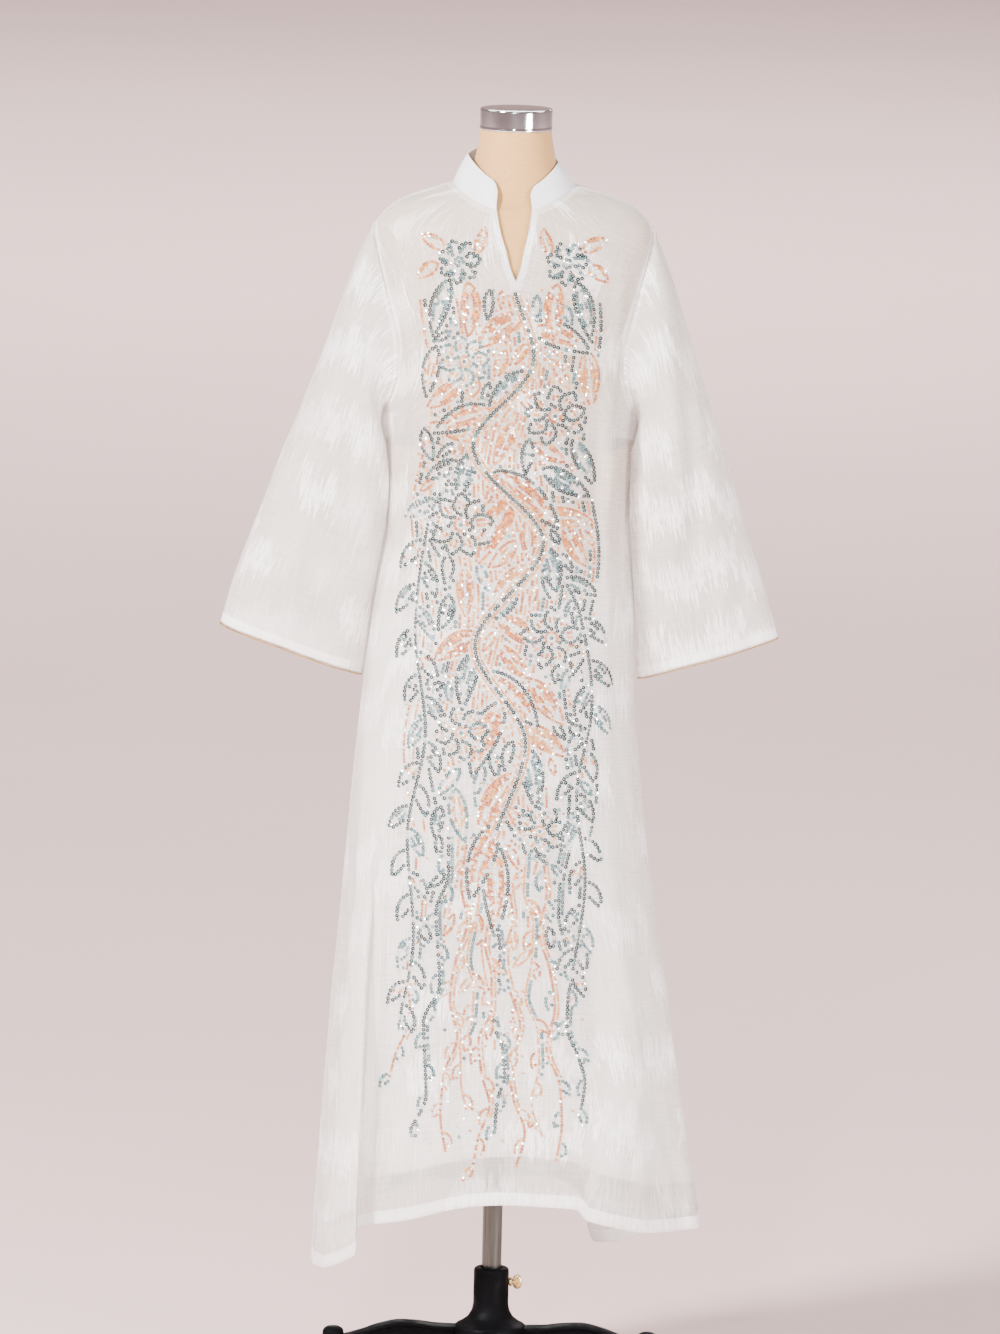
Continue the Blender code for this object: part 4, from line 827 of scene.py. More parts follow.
class Solid:
    """Points and faces of one solid piece while it is put together."""

    def __init__(self):
        self.points, self.faces, self.count = [], [], 0

    def add(self, points, faces):
        self.points.append(np.asarray(points, float))
        self.faces.extend([tuple(self.count + i for i in face) for face in faces])
        self.count += len(points)

    def loft(self, rings, capped=True):
        """Join closed rings of points, given from one end to the other, and cap both ends."""
        rings = np.asarray(rings, float)
        rows, steps = rings.shape[:2]
        faces = []
        for i in range(rows - 1):
            for j in range(steps):
                k = (j + 1) % steps
                faces.append((i * steps + j, i * steps + k, (i + 1) * steps + k, (i + 1) * steps + j))
        if capped:
            faces.append(tuple(reversed(range(steps))))
            faces.append(tuple(range((rows - 1) * steps, rows * steps)))
        self.add(rings.reshape(-1, 3), faces)

    def turn(self, profile, steps, closed=False, place=(0.0, 0.0, 0.0)):
        """Turn a profile of (radius, height) that runs down its outer side; poles are single points."""
        angle = np.linspace(0.0, 2 * math.pi, steps, endpoint=False)
        points, starts = [], []
        for radius, height in profile:
            starts.append(len(points))
            if radius < 1e-9:
                points.append((0.0, 0.0, height))
            else:
                points += [(radius * math.cos(a), radius * math.sin(a), height) for a in angle]
        faces = []
        pairs = list(zip(range(len(profile)), range(1, len(profile))))
        if closed:
            pairs.append((len(profile) - 1, 0))
        for top, low in pairs:
            for j in range(steps):
                k = (j + 1) % steps
                upper = [starts[top]] if profile[top][0] < 1e-9 else [starts[top] + k, starts[top] + j]
                lower = [starts[low]] if profile[low][0] < 1e-9 else [starts[low] + j, starts[low] + k]
                faces.append(tuple(upper + lower))
        self.add(np.array(points) + np.array(place), faces)

    def build(self, name, material, sharp=40.0):
        return mesh_piece(name, np.concatenate(self.points), self.faces, material, sharp)


def rounded(profile, radius, closed=False):
    """Round the corners of a profile of (radius, height) with three points each."""
    points = [np.array(p) for p in profile]
    result = []
    for i, here in enumerate(points):
        if not closed and i in (0, len(points) - 1):
            result.append(tuple(here))
            continue
        before, after = points[i - 1], points[(i + 1) % len(points)]
        back, on = before - here, after - here
        cut_back = min(radius, 0.45 * np.linalg.norm(back))
        cut_on = min(radius, 0.45 * np.linalg.norm(on))
        a = here + back / np.linalg.norm(back) * cut_back
        b = here + on / np.linalg.norm(on) * cut_on
        for t in (0.0, 0.5, 1.0):
            result.append(tuple((1 - t) ** 2 * a + 2 * t * (1 - t) * here + t * t * b))
    return result


def build_form(material):
    """Make the padded form: hip to neck, limbless, smooth and whole."""
    angles = np.linspace(0.0, 360.0, FORM_COLUMNS, endpoint=False)
    sine, cosine = np.sin(np.radians(angles)), np.cos(np.radians(angles))
    rings = []
    for height, width, front, back, squareness in FORM_TRUNK_ROWS:
        x = width * signed_power(sine, 2 / squareness)
        y = -np.where(cosine > 0, front, back) * signed_power(cosine, 2 / squareness)
        rings.append(np.stack([x, y, np.full(x.shape, height)], -1))
    for side_z in FORM_SHOULDER_LEVELS:
        level = np.full(angles.shape, side_z)
        inset = FORM_INSET + FORM_FRONT_INSET * np.maximum(cosine, 0.0) ** 2
        points, normals = body_face(angles, level)
        rings.append(points - inset[:, None] * normals)
    for width, side_z, front, front_z, back, back_z in FORM_NECK_ROWS:
        z = side_z + (np.where(cosine > 0, front_z, back_z) - side_z) * cosine * cosine
        rings.append(np.stack([width * sine, -np.where(cosine > 0, front, back) * cosine, z], -1))
    rings = np.array(rings)
    keys = np.concatenate([[0.0], np.cumsum(np.linalg.norm(np.diff(rings, axis=0), axis=-1).mean(1))])
    table = np.concatenate([keys[:, None], rings.reshape(len(rings), -1)], 1)
    fine = smooth_table(table)(finer(keys, FORM_FINE_ROWS)).reshape(-1, len(angles), 3)
    solid = Solid()
    solid.loft(fine)
    return solid.build("form_cover", material, 60.0)


def turned_piece(name, profile, corner, steps, material, place=(0.0, 0.0, 0.0)):
    """Turn a whole piece from its profile, with its corners rounded."""
    solid = Solid()
    solid.turn(rounded(profile, corner), steps, place=place)
    return solid.build(name, material)


def build_base(material):
    """Cast the base: a hub, four arms with a web and a flange, and four legs with domed bosses."""
    solid = Solid()
    solid.turn(rounded(HUB_PROFILE, 0.0022, closed=True), 96, closed=True)
    reach = np.linspace(ARM_TOP[0][0], ARM_TOP[-1][0], 40)
    top, bottom = smooth_table(ARM_TOP)(reach)[:, 0], smooth_table(ARM_BOTTOM)(reach)[:, 0]
    flange, web = ARM_FLANGE / 2, ARM_WEB / 2
    under = top - FLANGE_DEPTH
    half_section = [
        (0.75 * flange, top - 0.0002), (0.97 * flange, top - 0.0014), (flange, top - 0.0030),
        (0.97 * flange, under + 0.0008), (0.88 * flange, under), (web + 0.0030, under - 0.0006),
        (web + 0.0008, under - 0.0030), (web, bottom + 0.0020), (0.6 * web, bottom),
    ]
    section = [(0.0, top + 0.0004)] + [(-y, z) for y, z in half_section] + half_section[::-1]
    across = np.stack([np.full(reach.shape, y) for y, _ in section], 1)
    height = np.stack([z for _, z in section], 1)
    along = np.repeat(reach[:, None], len(section), 1)
    for i in range(4):
        c, s = round(math.cos(i * math.pi / 2)), round(math.sin(i * math.pi / 2))
        rings = np.stack([c * along - s * across, s * along + c * across, height], -1)
        solid.loft(rings[:, ::-1])
        solid.turn(rounded(LEG_PROFILE, 0.0012), 48, place=(c * LEG_REACH, s * LEG_REACH, 0.0))
    return solid.build("base_casting", material)


def build_glides(material):
    """Turn a plain glide for under each leg."""
    glides = []
    for i in range(4):
        turn = i * math.pi / 2
        place = (LEG_REACH * math.cos(turn), LEG_REACH * math.sin(turn), 0.0)
        glides.append(turned_piece(f"glide_{i + 1}", GLIDE_PROFILE, 0.0009, 48, material, place))
    return glides


def build_thumb_screw(material):
    """Make the thumb screw: a shank with thread rings, a collar and an oval head."""
    core = SCREW_RADIUS - 0.0004
    profile = [
        (0.0, 0.0330), (core, 0.0330), (core, 0.0280), (0.0062, 0.0279), (0.0062, 0.0246),
        (SCREW_RADIUS, 0.0245),
    ]
    for i in range(7):
        x = 0.0240 - SCREW_THREAD_PITCH * i
        profile += [(SCREW_RADIUS, x), (SCREW_RADIUS - 0.0005, x - 0.0006)]
    profile += [(SCREW_RADIUS - 0.0008, 0.0139), (0.0, 0.0139)]
    shank = Solid()
    shank.turn(rounded(profile, 0.0003), 40)
    points = np.concatenate(shank.points)
    solid = Solid()
    solid.add(np.stack([points[:, 2], points[:, 1], SCREW_Z - points[:, 0]], -1), shank.faces)
    turn = np.linspace(0.0, 2 * math.pi, 72, endpoint=False)
    half_x, half_y, half_z = SCREW_HEAD_HALF_SIZES
    rings = []
    for lift in np.linspace(-0.985, 0.985, 17):
        reach = math.sqrt(1 - lift * lift)
        grip = 1 + 0.035 * np.cos(18 * turn) * reach
        x = SCREW_HEAD_X + half_x * reach * np.cos(turn) * grip
        y = np.full(x.shape, half_y * signed_power(lift, 0.6))
        z = SCREW_Z + half_z * reach * np.sin(turn) * grip
        rings.append(np.stack([x, y, z], -1))
    solid.loft(np.array(rings)[:, ::-1])
    return solid.build("screw_brass", material)


def round_about(turn, across, up):
    """Give the directions at some turns round a path, from two directions across it."""
    return np.cos(turn)[..., None] * across + np.sin(turn)[..., None] * up


def build_cuff_cord(name, sleeve, material):
    """Twist two gold strands along the open edge of a cuff."""
    grid, normals = sleeve
    rim = grid[-1] + 0.0010 * unit(grid[-1] - grid[-2]) - 0.0004 * normals[-1]
    loop, out = closed_round(rim[None])[0], closed_round(normals[-1:])[0]
    length = run(loop, 0)
    steps = np.linspace(0.0, length[-1], 1000, endpoint=False)
    path, across = read_along(steps, length, loop), unit(read_along(steps, length, out))
    tangent = unit(np.roll(path, -1, 0) - np.roll(path, 1, 0))
    up = unit(np.cross(tangent, across))
    across = np.cross(up, tangent)
    twists = round(length[-1] / CORD_TWIST_LENGTH)
    sides = np.linspace(0.0, 2 * math.pi, 6, endpoint=False)
    solid = Solid()
    for start in (0.0, math.pi):
        phase = start + 2 * math.pi * twists * steps / length[-1]
        strand = path + CORD_TWIST_RADIUS * round_about(phase, across, up)
        rings = strand[:, None] + CORD_RADIUS * round_about(sides[None], across[:, None], up[:, None])
        solid.loft(np.concatenate([rings, rings[:1]])[:, ::-1], capped=False)
    return solid.build(name, material, 80.0)


# Node trees

def fill_inputs(tree, node, inputs):
    """Fill a node's inputs with values or with other nodes' outputs."""
    for key, value in inputs.items():
        if isinstance(value, bpy.types.NodeSocket):
            tree.links.new(value, node.inputs[key])
        else:
            node.inputs[key].default_value = value


def add_node(tree, kind, settings=None, inputs=None):
    """Add a node with its settings and its inputs."""
    node = tree.nodes.new(kind)
    for name, value in (settings or {}).items():
        setattr(node, name, value)
    fill_inputs(tree, node, inputs or {})
    return node


def calc(tree, operation, *values):
    node = add_node(tree, "ShaderNodeMath", {"operation": operation}, dict(enumerate(values)))
    return node.outputs[0]


def times(tree, first, second):
    return calc(tree, "MULTIPLY", first, second)


def plus(tree, first, second):
    return calc(tree, "ADD", first, second)


def remap(tree, value, low, high, to_low=0.0, to_high=1.0):
    """Bring a value smoothly from one range to another."""
    inputs = {0: value, 1: low, 2: high, 3: to_low, 4: to_high}
    return add_node(tree, "ShaderNodeMapRange", {"interpolation_type": "SMOOTHSTEP"}, inputs).outputs[0]


def opaque(colour, share=1.0):
    """Give a colour's four values, or those of a darker or brighter one."""
    return (*(min(share * c, 1.0) for c in colour), 1.0)


def blend_colours(tree, share, first, second):
    node = add_node(tree, "ShaderNodeMix", {"data_type": "RGBA"}, {0: share, 6: first, 7: second})
    return node.outputs[2]


def stretched(tree, vector, x, y, z=1.0):
    node = add_node(tree, "ShaderNodeVectorMath", {"operation": "MULTIPLY"}, {0: vector, 1: (x, y, z)})
    return node.outputs[0]


def enlarged(tree, vector, scale):
    node = add_node(tree, "ShaderNodeVectorMath", {"operation": "SCALE"}, {0: vector, "Scale": scale})
    return node.outputs[0]


def noise(tree, vector, scale, detail=2.0):
    inputs = {"Vector": vector, "Scale": scale, "Detail": detail}
    return add_node(tree, "ShaderNodeTexNoise", None, inputs).outputs["Fac"]


def bands(tree, vector, direction):
    """Give evenly spaced threads that run one way, a little crooked."""
    settings = {"wave_type": "BANDS", "bands_direction": direction}
    inputs = {"Vector": vector, "Scale": 0.62, "Distortion": 1.2}
    return add_node(tree, "ShaderNodeTexWave", settings, inputs).outputs["Fac"]


def attribute(tree, name):
    return add_node(tree, "ShaderNodeAttribute", {"attribute_name": name}).outputs["Fac"]


def split(tree, vector):
    """Give a vector's three values."""
    return add_node(tree, "ShaderNodeSeparateXYZ", None, {0: vector}).outputs


def new_group(name, inputs, outputs):
    """Start a shader node group with named inputs and outputs."""
    tree = bpy.data.node_groups.new(name, "ShaderNodeTree")
    for in_out, sockets in (("INPUT", inputs), ("OUTPUT", outputs)):
        for title, kind in sockets.items():
            tree.interface.new_socket(title, in_out=in_out, socket_type=kind)
    return tree, add_node(tree, "NodeGroupInput").outputs, add_node(tree, "NodeGroupOutput")


VALUE, VECTOR = "NodeSocketFloat", "NodeSocketVector"


def make_threads_group():
    """Uneven threads both ways, as slub yarn gives: fine warp and weft with thick and thin places."""
    tree, given, result = new_group(
        "uneven_threads", {"Place": VECTOR, "Threads": VALUE}, {"Shade": VALUE, "Height": VALUE}
    )
    place = enlarged(tree, given["Place"], given["Threads"])
    warp = noise(tree, stretched(tree, place, 1.0, 0.035), 1.0, 3.0)
    weft = noise(tree, stretched(tree, place, 0.035, 1.0), 1.0, 3.0)
    shade = remap(tree, plus(tree, times(tree, warp, 0.5), times(tree, weft, 0.5)), 0.34, 0.66)
    weave = times(tree, bands(tree, place, "X"), bands(tree, place, "Y"))
    height = plus(tree, times(tree, weave, 0.4), times(tree, shade, 0.6))
    fill_inputs(tree, result, {"Shade": shade, "Height": height})
    return tree


STREAK_WIDTH = 0.0019


def chance(tree, first, second):
    """Give a chance value from 0 to 1 for each pair of whole numbers."""
    pair = add_node(tree, "ShaderNodeCombineXYZ", None, {0: first, 1: second}).outputs[0]
    node = add_node(tree, "ShaderNodeTexWhiteNoise", {"noise_dimensions": "2D"}, {"Vector": pair})
    return node.outputs["Value"]


def make_streaks_group():
    """Glossy streaks woven in patches: ragged bands of short upright lines in a brick layout."""
    inputs = ("Column Width", "Repeat", "Band Share", "Missing")
    tree, given, result = new_group(
        "woven_streaks", {"Place": VECTOR, **dict.fromkeys(inputs, VALUE)}, {"Mask": VALUE}
    )
    place = given["Place"]
    u, v, _ = split(tree, place)
    drift = noise(tree, stretched(tree, place, 5.0, 9.0), 1.0)
    column = plus(tree, calc(tree, "DIVIDE", u, given["Column Width"]), times(tree, drift, 1.6))
    column_number = calc(tree, "FLOOR", column)
    start = chance(tree, column_number, 3.7)
    streak_number = calc(tree, "FLOOR", calc(tree, "DIVIDE", u, STREAK_WIDTH))
    uneven = calc(tree, "SUBTRACT", chance(tree, streak_number, column_number), 0.5)
    wave = calc(tree, "SUBTRACT", noise(tree, stretched(tree, place, 38.0, 3.0), 1.0), 0.5)
    row = plus(tree, calc(tree, "DIVIDE", v, given["Repeat"]), start)
    row = plus(tree, row, times(tree, uneven, 0.34))
    row = plus(tree, row, times(tree, wave, 0.3))
    row_number = calc(tree, "FLOOR", row)
    share = calc(tree, "FRACT", row)
    fade_in = remap(tree, share, 0.0, 0.10)
    fade_out = remap(tree, calc(tree, "SUBTRACT", given["Band Share"], share), -0.02, 0.14)
    luck = calc(tree, "SUBTRACT", chance(tree, column_number, row_number), given["Missing"])
    patch = times(tree, times(tree, fade_in, fade_out), remap(tree, luck, 0.0, 0.35))
    gloss = plus(tree, times(tree, chance(tree, streak_number, row_number), 0.6), 0.5)
    gloss = calc(tree, "MINIMUM", gloss, 1.0)
    fine = remap(tree, noise(tree, stretched(tree, place, 900.0, 60.0), 1.0, 1.0), 0.34, 0.50)
    inside = times(tree, times(tree, patch, gloss), fine)
    stray = remap(tree, noise(tree, stretched(tree, place, 420.0, 14.0), 1.0, 1.0), 0.62, 0.72)
    cloud = remap(tree, noise(tree, stretched(tree, place, 9.0, 7.0), 1.0, 1.0), 0.40, 0.60)
    loose = times(tree, times(tree, stray, cloud), 0.7)
    fill_inputs(tree, result, {"Mask": calc(tree, "MAXIMUM", inside, loose)})
    return tree


def make_grain_group():
    """Grain and wear of a hard finish: fine grain, broad stains and rubbed places."""
    tree, given, result = new_group(
        "grain_and_wear", {"Place": VECTOR, "Grain": VALUE},
        {"Grain": VALUE, "Stain": VALUE, "Rubbed": VALUE},
    )
    grain = noise(tree, enlarged(tree, given["Place"], given["Grain"]), 1.0, 4.0)
    stain = remap(tree, noise(tree, given["Place"], 38.0, 4.0), 0.35, 0.70)
    pointed = add_node(tree, "ShaderNodeNewGeometry").outputs["Pointiness"]
    rubbed = times(tree, remap(tree, pointed, 0.51, 0.60), remap(tree, grain, 0.40, 0.65))
    fill_inputs(tree, result, {"Grain": grain, "Stain": stain, "Rubbed": rubbed})
    return tree


THREADS = make_threads_group()
STREAKS = make_streaks_group()
GRAIN = make_grain_group()


def use_group(tree, group, inputs):
    return add_node(tree, "ShaderNodeGroup", {"node_tree": group}, inputs).outputs


def new_material(name, fixed):
    """Start a material whose even values sit on the shader's own sockets."""
    material = bpy.data.materials.new(name)
    material.use_nodes = True
    tree = material.node_tree
    shader = tree.nodes["Principled BSDF"]
    fill_inputs(tree, shader, fixed)
    return material, tree, shader


def bump(tree, height, strength, distance):
    inputs = {"Strength": strength, "Distance": distance, "Height": height}
    return add_node(tree, "ShaderNodeBump", None, inputs).outputs[0]


def flat_place(tree):
    return add_node(tree, "ShaderNodeUVMap", {"uv_map": "flat"}).outputs[0]


def object_place(tree):
    return add_node(tree, "ShaderNodeTexCoord").outputs["Object"]


def gauze_material(name, ground, streak, cover, missing, hem, unlined):
    """Make the abaya's gauze: semi-sheer slub cloth with woven streaks.

    It is denser where it is double; near the hem, below where the lining starts, its colour is darkened by
    painted shade that stands for the shadowed inside seen through it.
    """
    sheen = {"Sheen Weight": 0.20, "Sheen Roughness": 0.45, "Specular IOR Level": 0.30}
    material, tree, shader = new_material(name, sheen)
    place = flat_place(tree)
    threads = use_group(tree, THREADS, {"Place": place, "Threads": 620.0})
    sizes = {
        "Place": place, "Column Width": 0.055, "Repeat": 0.100, "Band Share": 0.54, "Missing": missing,
    }
    streaks = use_group(tree, STREAKS, sizes)["Mask"]
    above_hem = split(tree, place)[1]
    at_seam = remap(tree, attribute(tree, "seam_distance"), 0.0075, 0.0090, 0.5, 0.0)
    at_hem = remap(tree, above_hem, hem - 0.0010, hem, 1.0, 0.0)
    double = calc(tree, "MAXIMUM", at_seam, at_hem)
    colour = blend_colours(tree, threads["Shade"], opaque(ground, 0.88), opaque(ground))
    colour = blend_colours(tree, streaks, colour, opaque(streak))
    # Painted shade: the band below the lining's lower edge is darkened towards half the ground colour,
    # standing for the shadowed inside seen through the sheer cloth.
    unlined_painted_shade = remap(tree, above_hem, unlined - 0.0020, unlined + 0.0030, 0.44, 0.0)
    colour = blend_colours(tree, unlined_painted_shade, colour, opaque(ground, 0.50))
    colour = blend_colours(tree, times(tree, double, 0.6), colour, opaque(streak))
    sheer = times(tree, calc(tree, "SUBTRACT", threads["Shade"], 0.5), 0.16)
    solid = plus(tree, cover, sheer)
    solid = plus(tree, solid, times(tree, streaks, 0.25))
    solid = plus(tree, solid, times(tree, double, 0.26))
    height = plus(tree, threads["Height"], times(tree, streaks, 0.5))
    fill_inputs(tree, shader, {
        "Base Color": colour,
        "Roughness": remap(tree, streaks, 0.0, 1.0, 0.78, 0.44),
        "Alpha": calc(tree, "MINIMUM", solid, 1.0),
        "Normal": bump(tree, height, 0.5, 0.0004),
    })
    return material


def cloth_material(name, find_place, ground, light, threads_per_metre, roughness, strength, top=None):
    """Make a plain closely woven cloth, which may take another tone towards its top edge."""
    fixed = {"Roughness": roughness, "Sheen Weight": 0.15, "Specular IOR Level": 0.25}
    material, tree, shader = new_material(name, fixed)
    threads = use_group(tree, THREADS, {"Place": find_place(tree), "Threads": threads_per_metre})
    colour = blend_colours(tree, threads["Shade"], opaque(ground), opaque(light))
    if top:
        near_top = remap(tree, split(tree, object_place(tree))[2], TOP_TONE_FROM, TOP_TONE_TO)
        colour = blend_colours(tree, near_top, colour, opaque(top))
    normal = bump(tree, threads["Height"], strength, 0.0003)
    fill_inputs(tree, shader, {"Base Color": colour, "Normal": normal})
    return material


def metal_material(
    name, colour, worn, roughness, metallic, grain, strength, stretch=(1.0, 1.0, 1.0), gloss=0.5,
):
    """Make a metal with grain, stains and rubbed edges."""
    material, tree, shader = new_material(name, {"Metallic": metallic, "Specular IOR Level": gloss})
    place = stretched(tree, object_place(tree), *stretch)
    marks = use_group(tree, GRAIN, {"Place": place, "Grain": grain})
    stained = times(tree, marks["Stain"], 0.35)
    base = blend_colours(tree, stained, opaque(colour), opaque(colour, 0.7))
    fill_inputs(tree, shader, {
        "Base Color": blend_colours(tree, marks["Rubbed"], base, opaque(worn)),
        "Roughness": remap(tree, marks["Stain"], 0.0, 1.0, roughness * 0.8, roughness * 1.25),
        "Normal": bump(tree, marks["Grain"], strength, 0.0004),
    })
    return material


def sequin_material(name, gloss, roughness, *tones):
    """Make a sequin's foil: each takes its colour from its own tone; those of the last tone are partly metal
    and partly painted highlight, their near-white colour standing for glints.
    """
    material, tree, shader = new_material(name, {"Specular IOR Level": gloss})
    tone = attribute(tree, "tone")
    # The last tone's near-white colour is partly metal foil and partly painted highlight for glints.
    metal_and_painted_glint = calc(tree, "GREATER_THAN", tone, tones[-1][0])
    ramp = add_node(tree, "ShaderNodeValToRGB", None, {0: tone})
    ramp.color_ramp.interpolation = "CONSTANT"
    while len(ramp.color_ramp.elements) < len(tones):
        ramp.color_ramp.elements.new(0.5)
    for element, (start, colour) in zip(ramp.color_ramp.elements, tones):
        element.position = start
        element.color = opaque(colour)
    scratch = remap(tree, noise(tree, object_place(tree), 1400.0), 0.45, 0.70, 0.0, 0.45)
    colour = blend_colours(tree, scratch, ramp.outputs[0], opaque(tones[0][1], 0.6))
    speck = remap(tree, noise(tree, object_place(tree), 900.0), 0.3, 0.7, 0.7 * roughness, 1.4 * roughness)
    smoother = calc(tree, "SUBTRACT", 1.0, times(tree, metal_and_painted_glint, 0.6))
    fill_inputs(tree, shader, {
        "Metallic": times(tree, metal_and_painted_glint, 0.7),
        "Base Color": blend_colours(tree, metal_and_painted_glint, colour, ramp.outputs[0]),
        "Roughness": times(tree, speck, smoother),
    })
    return material


# Needlework

def sewing_tree():
    """Make the tree that sews one shape on each point, turned by the point's own directions."""
    tree = bpy.data.node_groups.new("sew_on_points", "GeometryNodeTree")
    tree.is_modifier = True
    sockets = {
        "Places": "NodeSocketGeometry", "Shape": "NodeSocketObject", "Finish": "NodeSocketMaterial",
        "Scale": VALUE,
    }
    for title, kind in sockets.items():
        tree.interface.new_socket(title, in_out="INPUT", socket_type=kind)
    tree.interface.new_socket("Sewn", in_out="OUTPUT", socket_type="NodeSocketGeometry")
    given = add_node(tree, "NodeGroupInput").outputs
    facing, along, size = [
        add_node(tree, "GeometryNodeInputNamedAttribute", {"data_type": kind}, {"Name": title}).outputs[0]
        for title, kind in (("facing", "FLOAT_VECTOR"), ("along", "FLOAT_VECTOR"), ("size", "FLOAT"))
    ]
    axes = {"primary_axis": "Z", "secondary_axis": "X"}
    turn = add_node(tree, "FunctionNodeAxesToRotation", axes, {0: facing, 1: along}).outputs[0]
    shape = add_node(tree, "GeometryNodeObjectInfo", None, {"Object": given["Shape"]}).outputs["Geometry"]
    scale = times(tree, size, given["Scale"])
    inputs = {"Points": given["Places"], "Instance": shape, "Rotation": turn, "Scale": scale}
    sewn = add_node(tree, "GeometryNodeInstanceOnPoints", None, inputs).outputs[0]
    real = add_node(tree, "GeometryNodeRealizeInstances", None, {0: sewn}).outputs[0]
    finish = {"Geometry": real, "Material": given["Finish"]}
    done = add_node(tree, "GeometryNodeSetMaterial", None, finish).outputs[0]
    add_node(tree, "NodeGroupOutput", None, {"Sewn": done})
    return tree


SEWING = sewing_tree()


def sew(name, places, shape, material, scale=1.0):
    """Sew a shape on places and give the result as a plain mesh."""
    mesh = bpy.data.meshes.new(name)
    mesh.from_pydata(places["at"].tolist(), [], [])
    for title in ("facing", "along"):
        layer = mesh.attributes.new(title, "FLOAT_VECTOR", "POINT")
        layer.data.foreach_set("vector", places[title].astype(np.float32).ravel())
    for title in ("size", "tone"):
        layer = mesh.attributes.new(title, "FLOAT", "POINT")
        layer.data.foreach_set("value", places[title].astype(np.float32))
    piece = bpy.data.objects.new(name, mesh)
    bpy.context.scene.collection.objects.link(piece)
    modifier = piece.modifiers.new("sewing", "NODES")
    modifier.node_group = SEWING
    sockets = {s.name: s.identifier for s in SEWING.interface.items_tree if s.in_out == "INPUT"}
    for title, value in (("Shape", shape), ("Finish", material), ("Scale", scale)):
        modifier[sockets[title]] = value
    settle(piece)
    bpy.data.objects.remove(shape)
    for title in ("facing", "along", "size"):
        if title in piece.data.attributes:
            piece.data.attributes.remove(piece.data.attributes[title])
    return piece


def sequin_shape(radius, sides, hole):
    """Make one cupped sequin with a hole: its outer edge stands off the cloth."""
    turn = np.linspace(0.0, 2 * math.pi, sides, endpoint=False)
    ring = np.stack([np.cos(turn), np.sin(turn), 0 * turn], -1)
    up = np.array([0.0, 0.0, radius])
    loops = (hole * radius * ring, radius * ring + 0.30 * up, hole * radius * ring + 0.12 * up)
    faces = []
    for low, high in ((0, 1), (1, 2), (2, 0)):
        for j in range(sides):
            k = (j + 1) % sides
            faces.append((high * sides + k, high * sides + j, low * sides + j, low * sides + k))
    return mesh_piece("cup_shape", np.concatenate(loops), faces, None, 40.0)


def bead_shape(radius):
    """Make one small cut bead."""
    solid = Solid()
    profile = ((0.0, 1.5), (0.9, 1.1), (0.8, 0.0), (0.0, -0.1))
    solid.turn([(radius * reach, radius * height) for reach, height in profile], 5)
    return solid.build("bead_shape", None, 20.0)


def stitch_shape(length, radius):
    """Make one machine stitch, a short bent thread along X."""
    turn = np.linspace(0.0, 2 * math.pi, 5, endpoint=False)
    rings = []
    for share in np.linspace(-1.0, 1.0, 5):
        swell = radius * math.sqrt(max(1.0 - 0.75 * share * share, 0.1))
        lift = radius * (1.0 - 1.5 * share * share)
        x = np.full(turn.shape, share * length / 2)
        rings.append(np.stack([x, swell * np.cos(turn), lift + swell * np.sin(turn)], -1))
    solid = Solid()
    solid.loft(rings)
    return solid.build("stitch_shape", None, 80.0)


def chances(count, low, high, rng):
    """Give a size from low to high, and a tone from 0 to 1, for each of some places."""
    return {"size": rng.uniform(low, high, count), "tone": rng.uniform(0.0, 1.0, count)}


def stitch_places(path, normals, pitch, rng):
    """Give places for stitches in a row along a path on the cloth."""
    length = run(path, 0)
    steps = np.arange(pitch / 2, length[-1], pitch)
    facing = unit(read_along(steps, length, normals))
    at = read_along(steps, length, path) + 0.0001 * facing
    ahead, behind = read_along(steps + 0.001, length, path), read_along(steps - 0.001, length, path)
    places = {"at": at, "facing": facing, "along": unit(ahead - behind)}
    return {**places, **chances(len(steps), 0.9, 1.08, rng)}


def joined(places):
    return {key: np.concatenate([p[key] for p in places]) for key in places[0]}


# Embroidery: leaves, rosettes and hanging tendrils, drawn as seen from the front in x and z

# kind: radius of one piece, distance between two in a row
KINDS = {
    "dark": (0.0028, 0.0056),
    "pale": (0.0025, 0.0050),
    "peach": (0.0022, 0.0040),
    "gold": (0.0019, 0.0036),
    "bead": (0.0010, 0.0030),
}
CROWDING = 0.80
FILL_GAP = 0.91
# Upright lines of small sequins between the leaves
LINES_REACH, LINES_GAP, LINES_ROOM, LINES_STEP = 0.120, 0.0060, 0.0016, 0.004
LINES_TOP, LINES_SHORTEST, LINES_LONGEST = 1.530, 0.480, 1.120
LINES_SWAY, LINES_WAVELENGTH, LINES_SPREAD = 0.011, 0.310, 0.12
LINE_KINDS = ("peach", "peach", "gold", "peach", "gold", "peach", "pale")
MAIN_STEM = (
    (0.004, 1.532), (0.030, 1.450), (-0.048, 1.330), (0.048, 1.200), (-0.040, 1.060), (0.030, 0.930),
    (-0.010, 0.800),
)
RIGHT_STEM = (
    (0.052, 1.190), (0.100, 1.100), (0.118, 0.980), (0.100, 0.860), (0.114, 0.740), (0.100, 0.620),
)
LEFT_STEM = (
    (-0.058, 1.320), (-0.106, 1.220), (-0.120, 1.080), (-0.104, 0.940), (-0.125, 0.800), (-0.114, 0.660),
    (-0.130, 0.550),
)
# x, z, radius, petals, edge, fill
ROSETTES = (
    (0.072, 1.572, 0.028, 7, "dark", "pale"), (-0.072, 1.572, 0.028, 7, "dark", "pale"),
    (0.060, 1.372, 0.040, 9, "dark", "peach"), (-0.062, 1.222, 0.043, 9, "dark", "peach"),
    (0.062, 1.072, 0.041, 9, "dark", "peach"), (-0.056, 0.942, 0.037, 8, "dark", "gold"),
    (0.052, 0.812, 0.034, 8, "dark", "gold"), (-0.062, 1.442, 0.033, 8, "pale", "gold"),
)
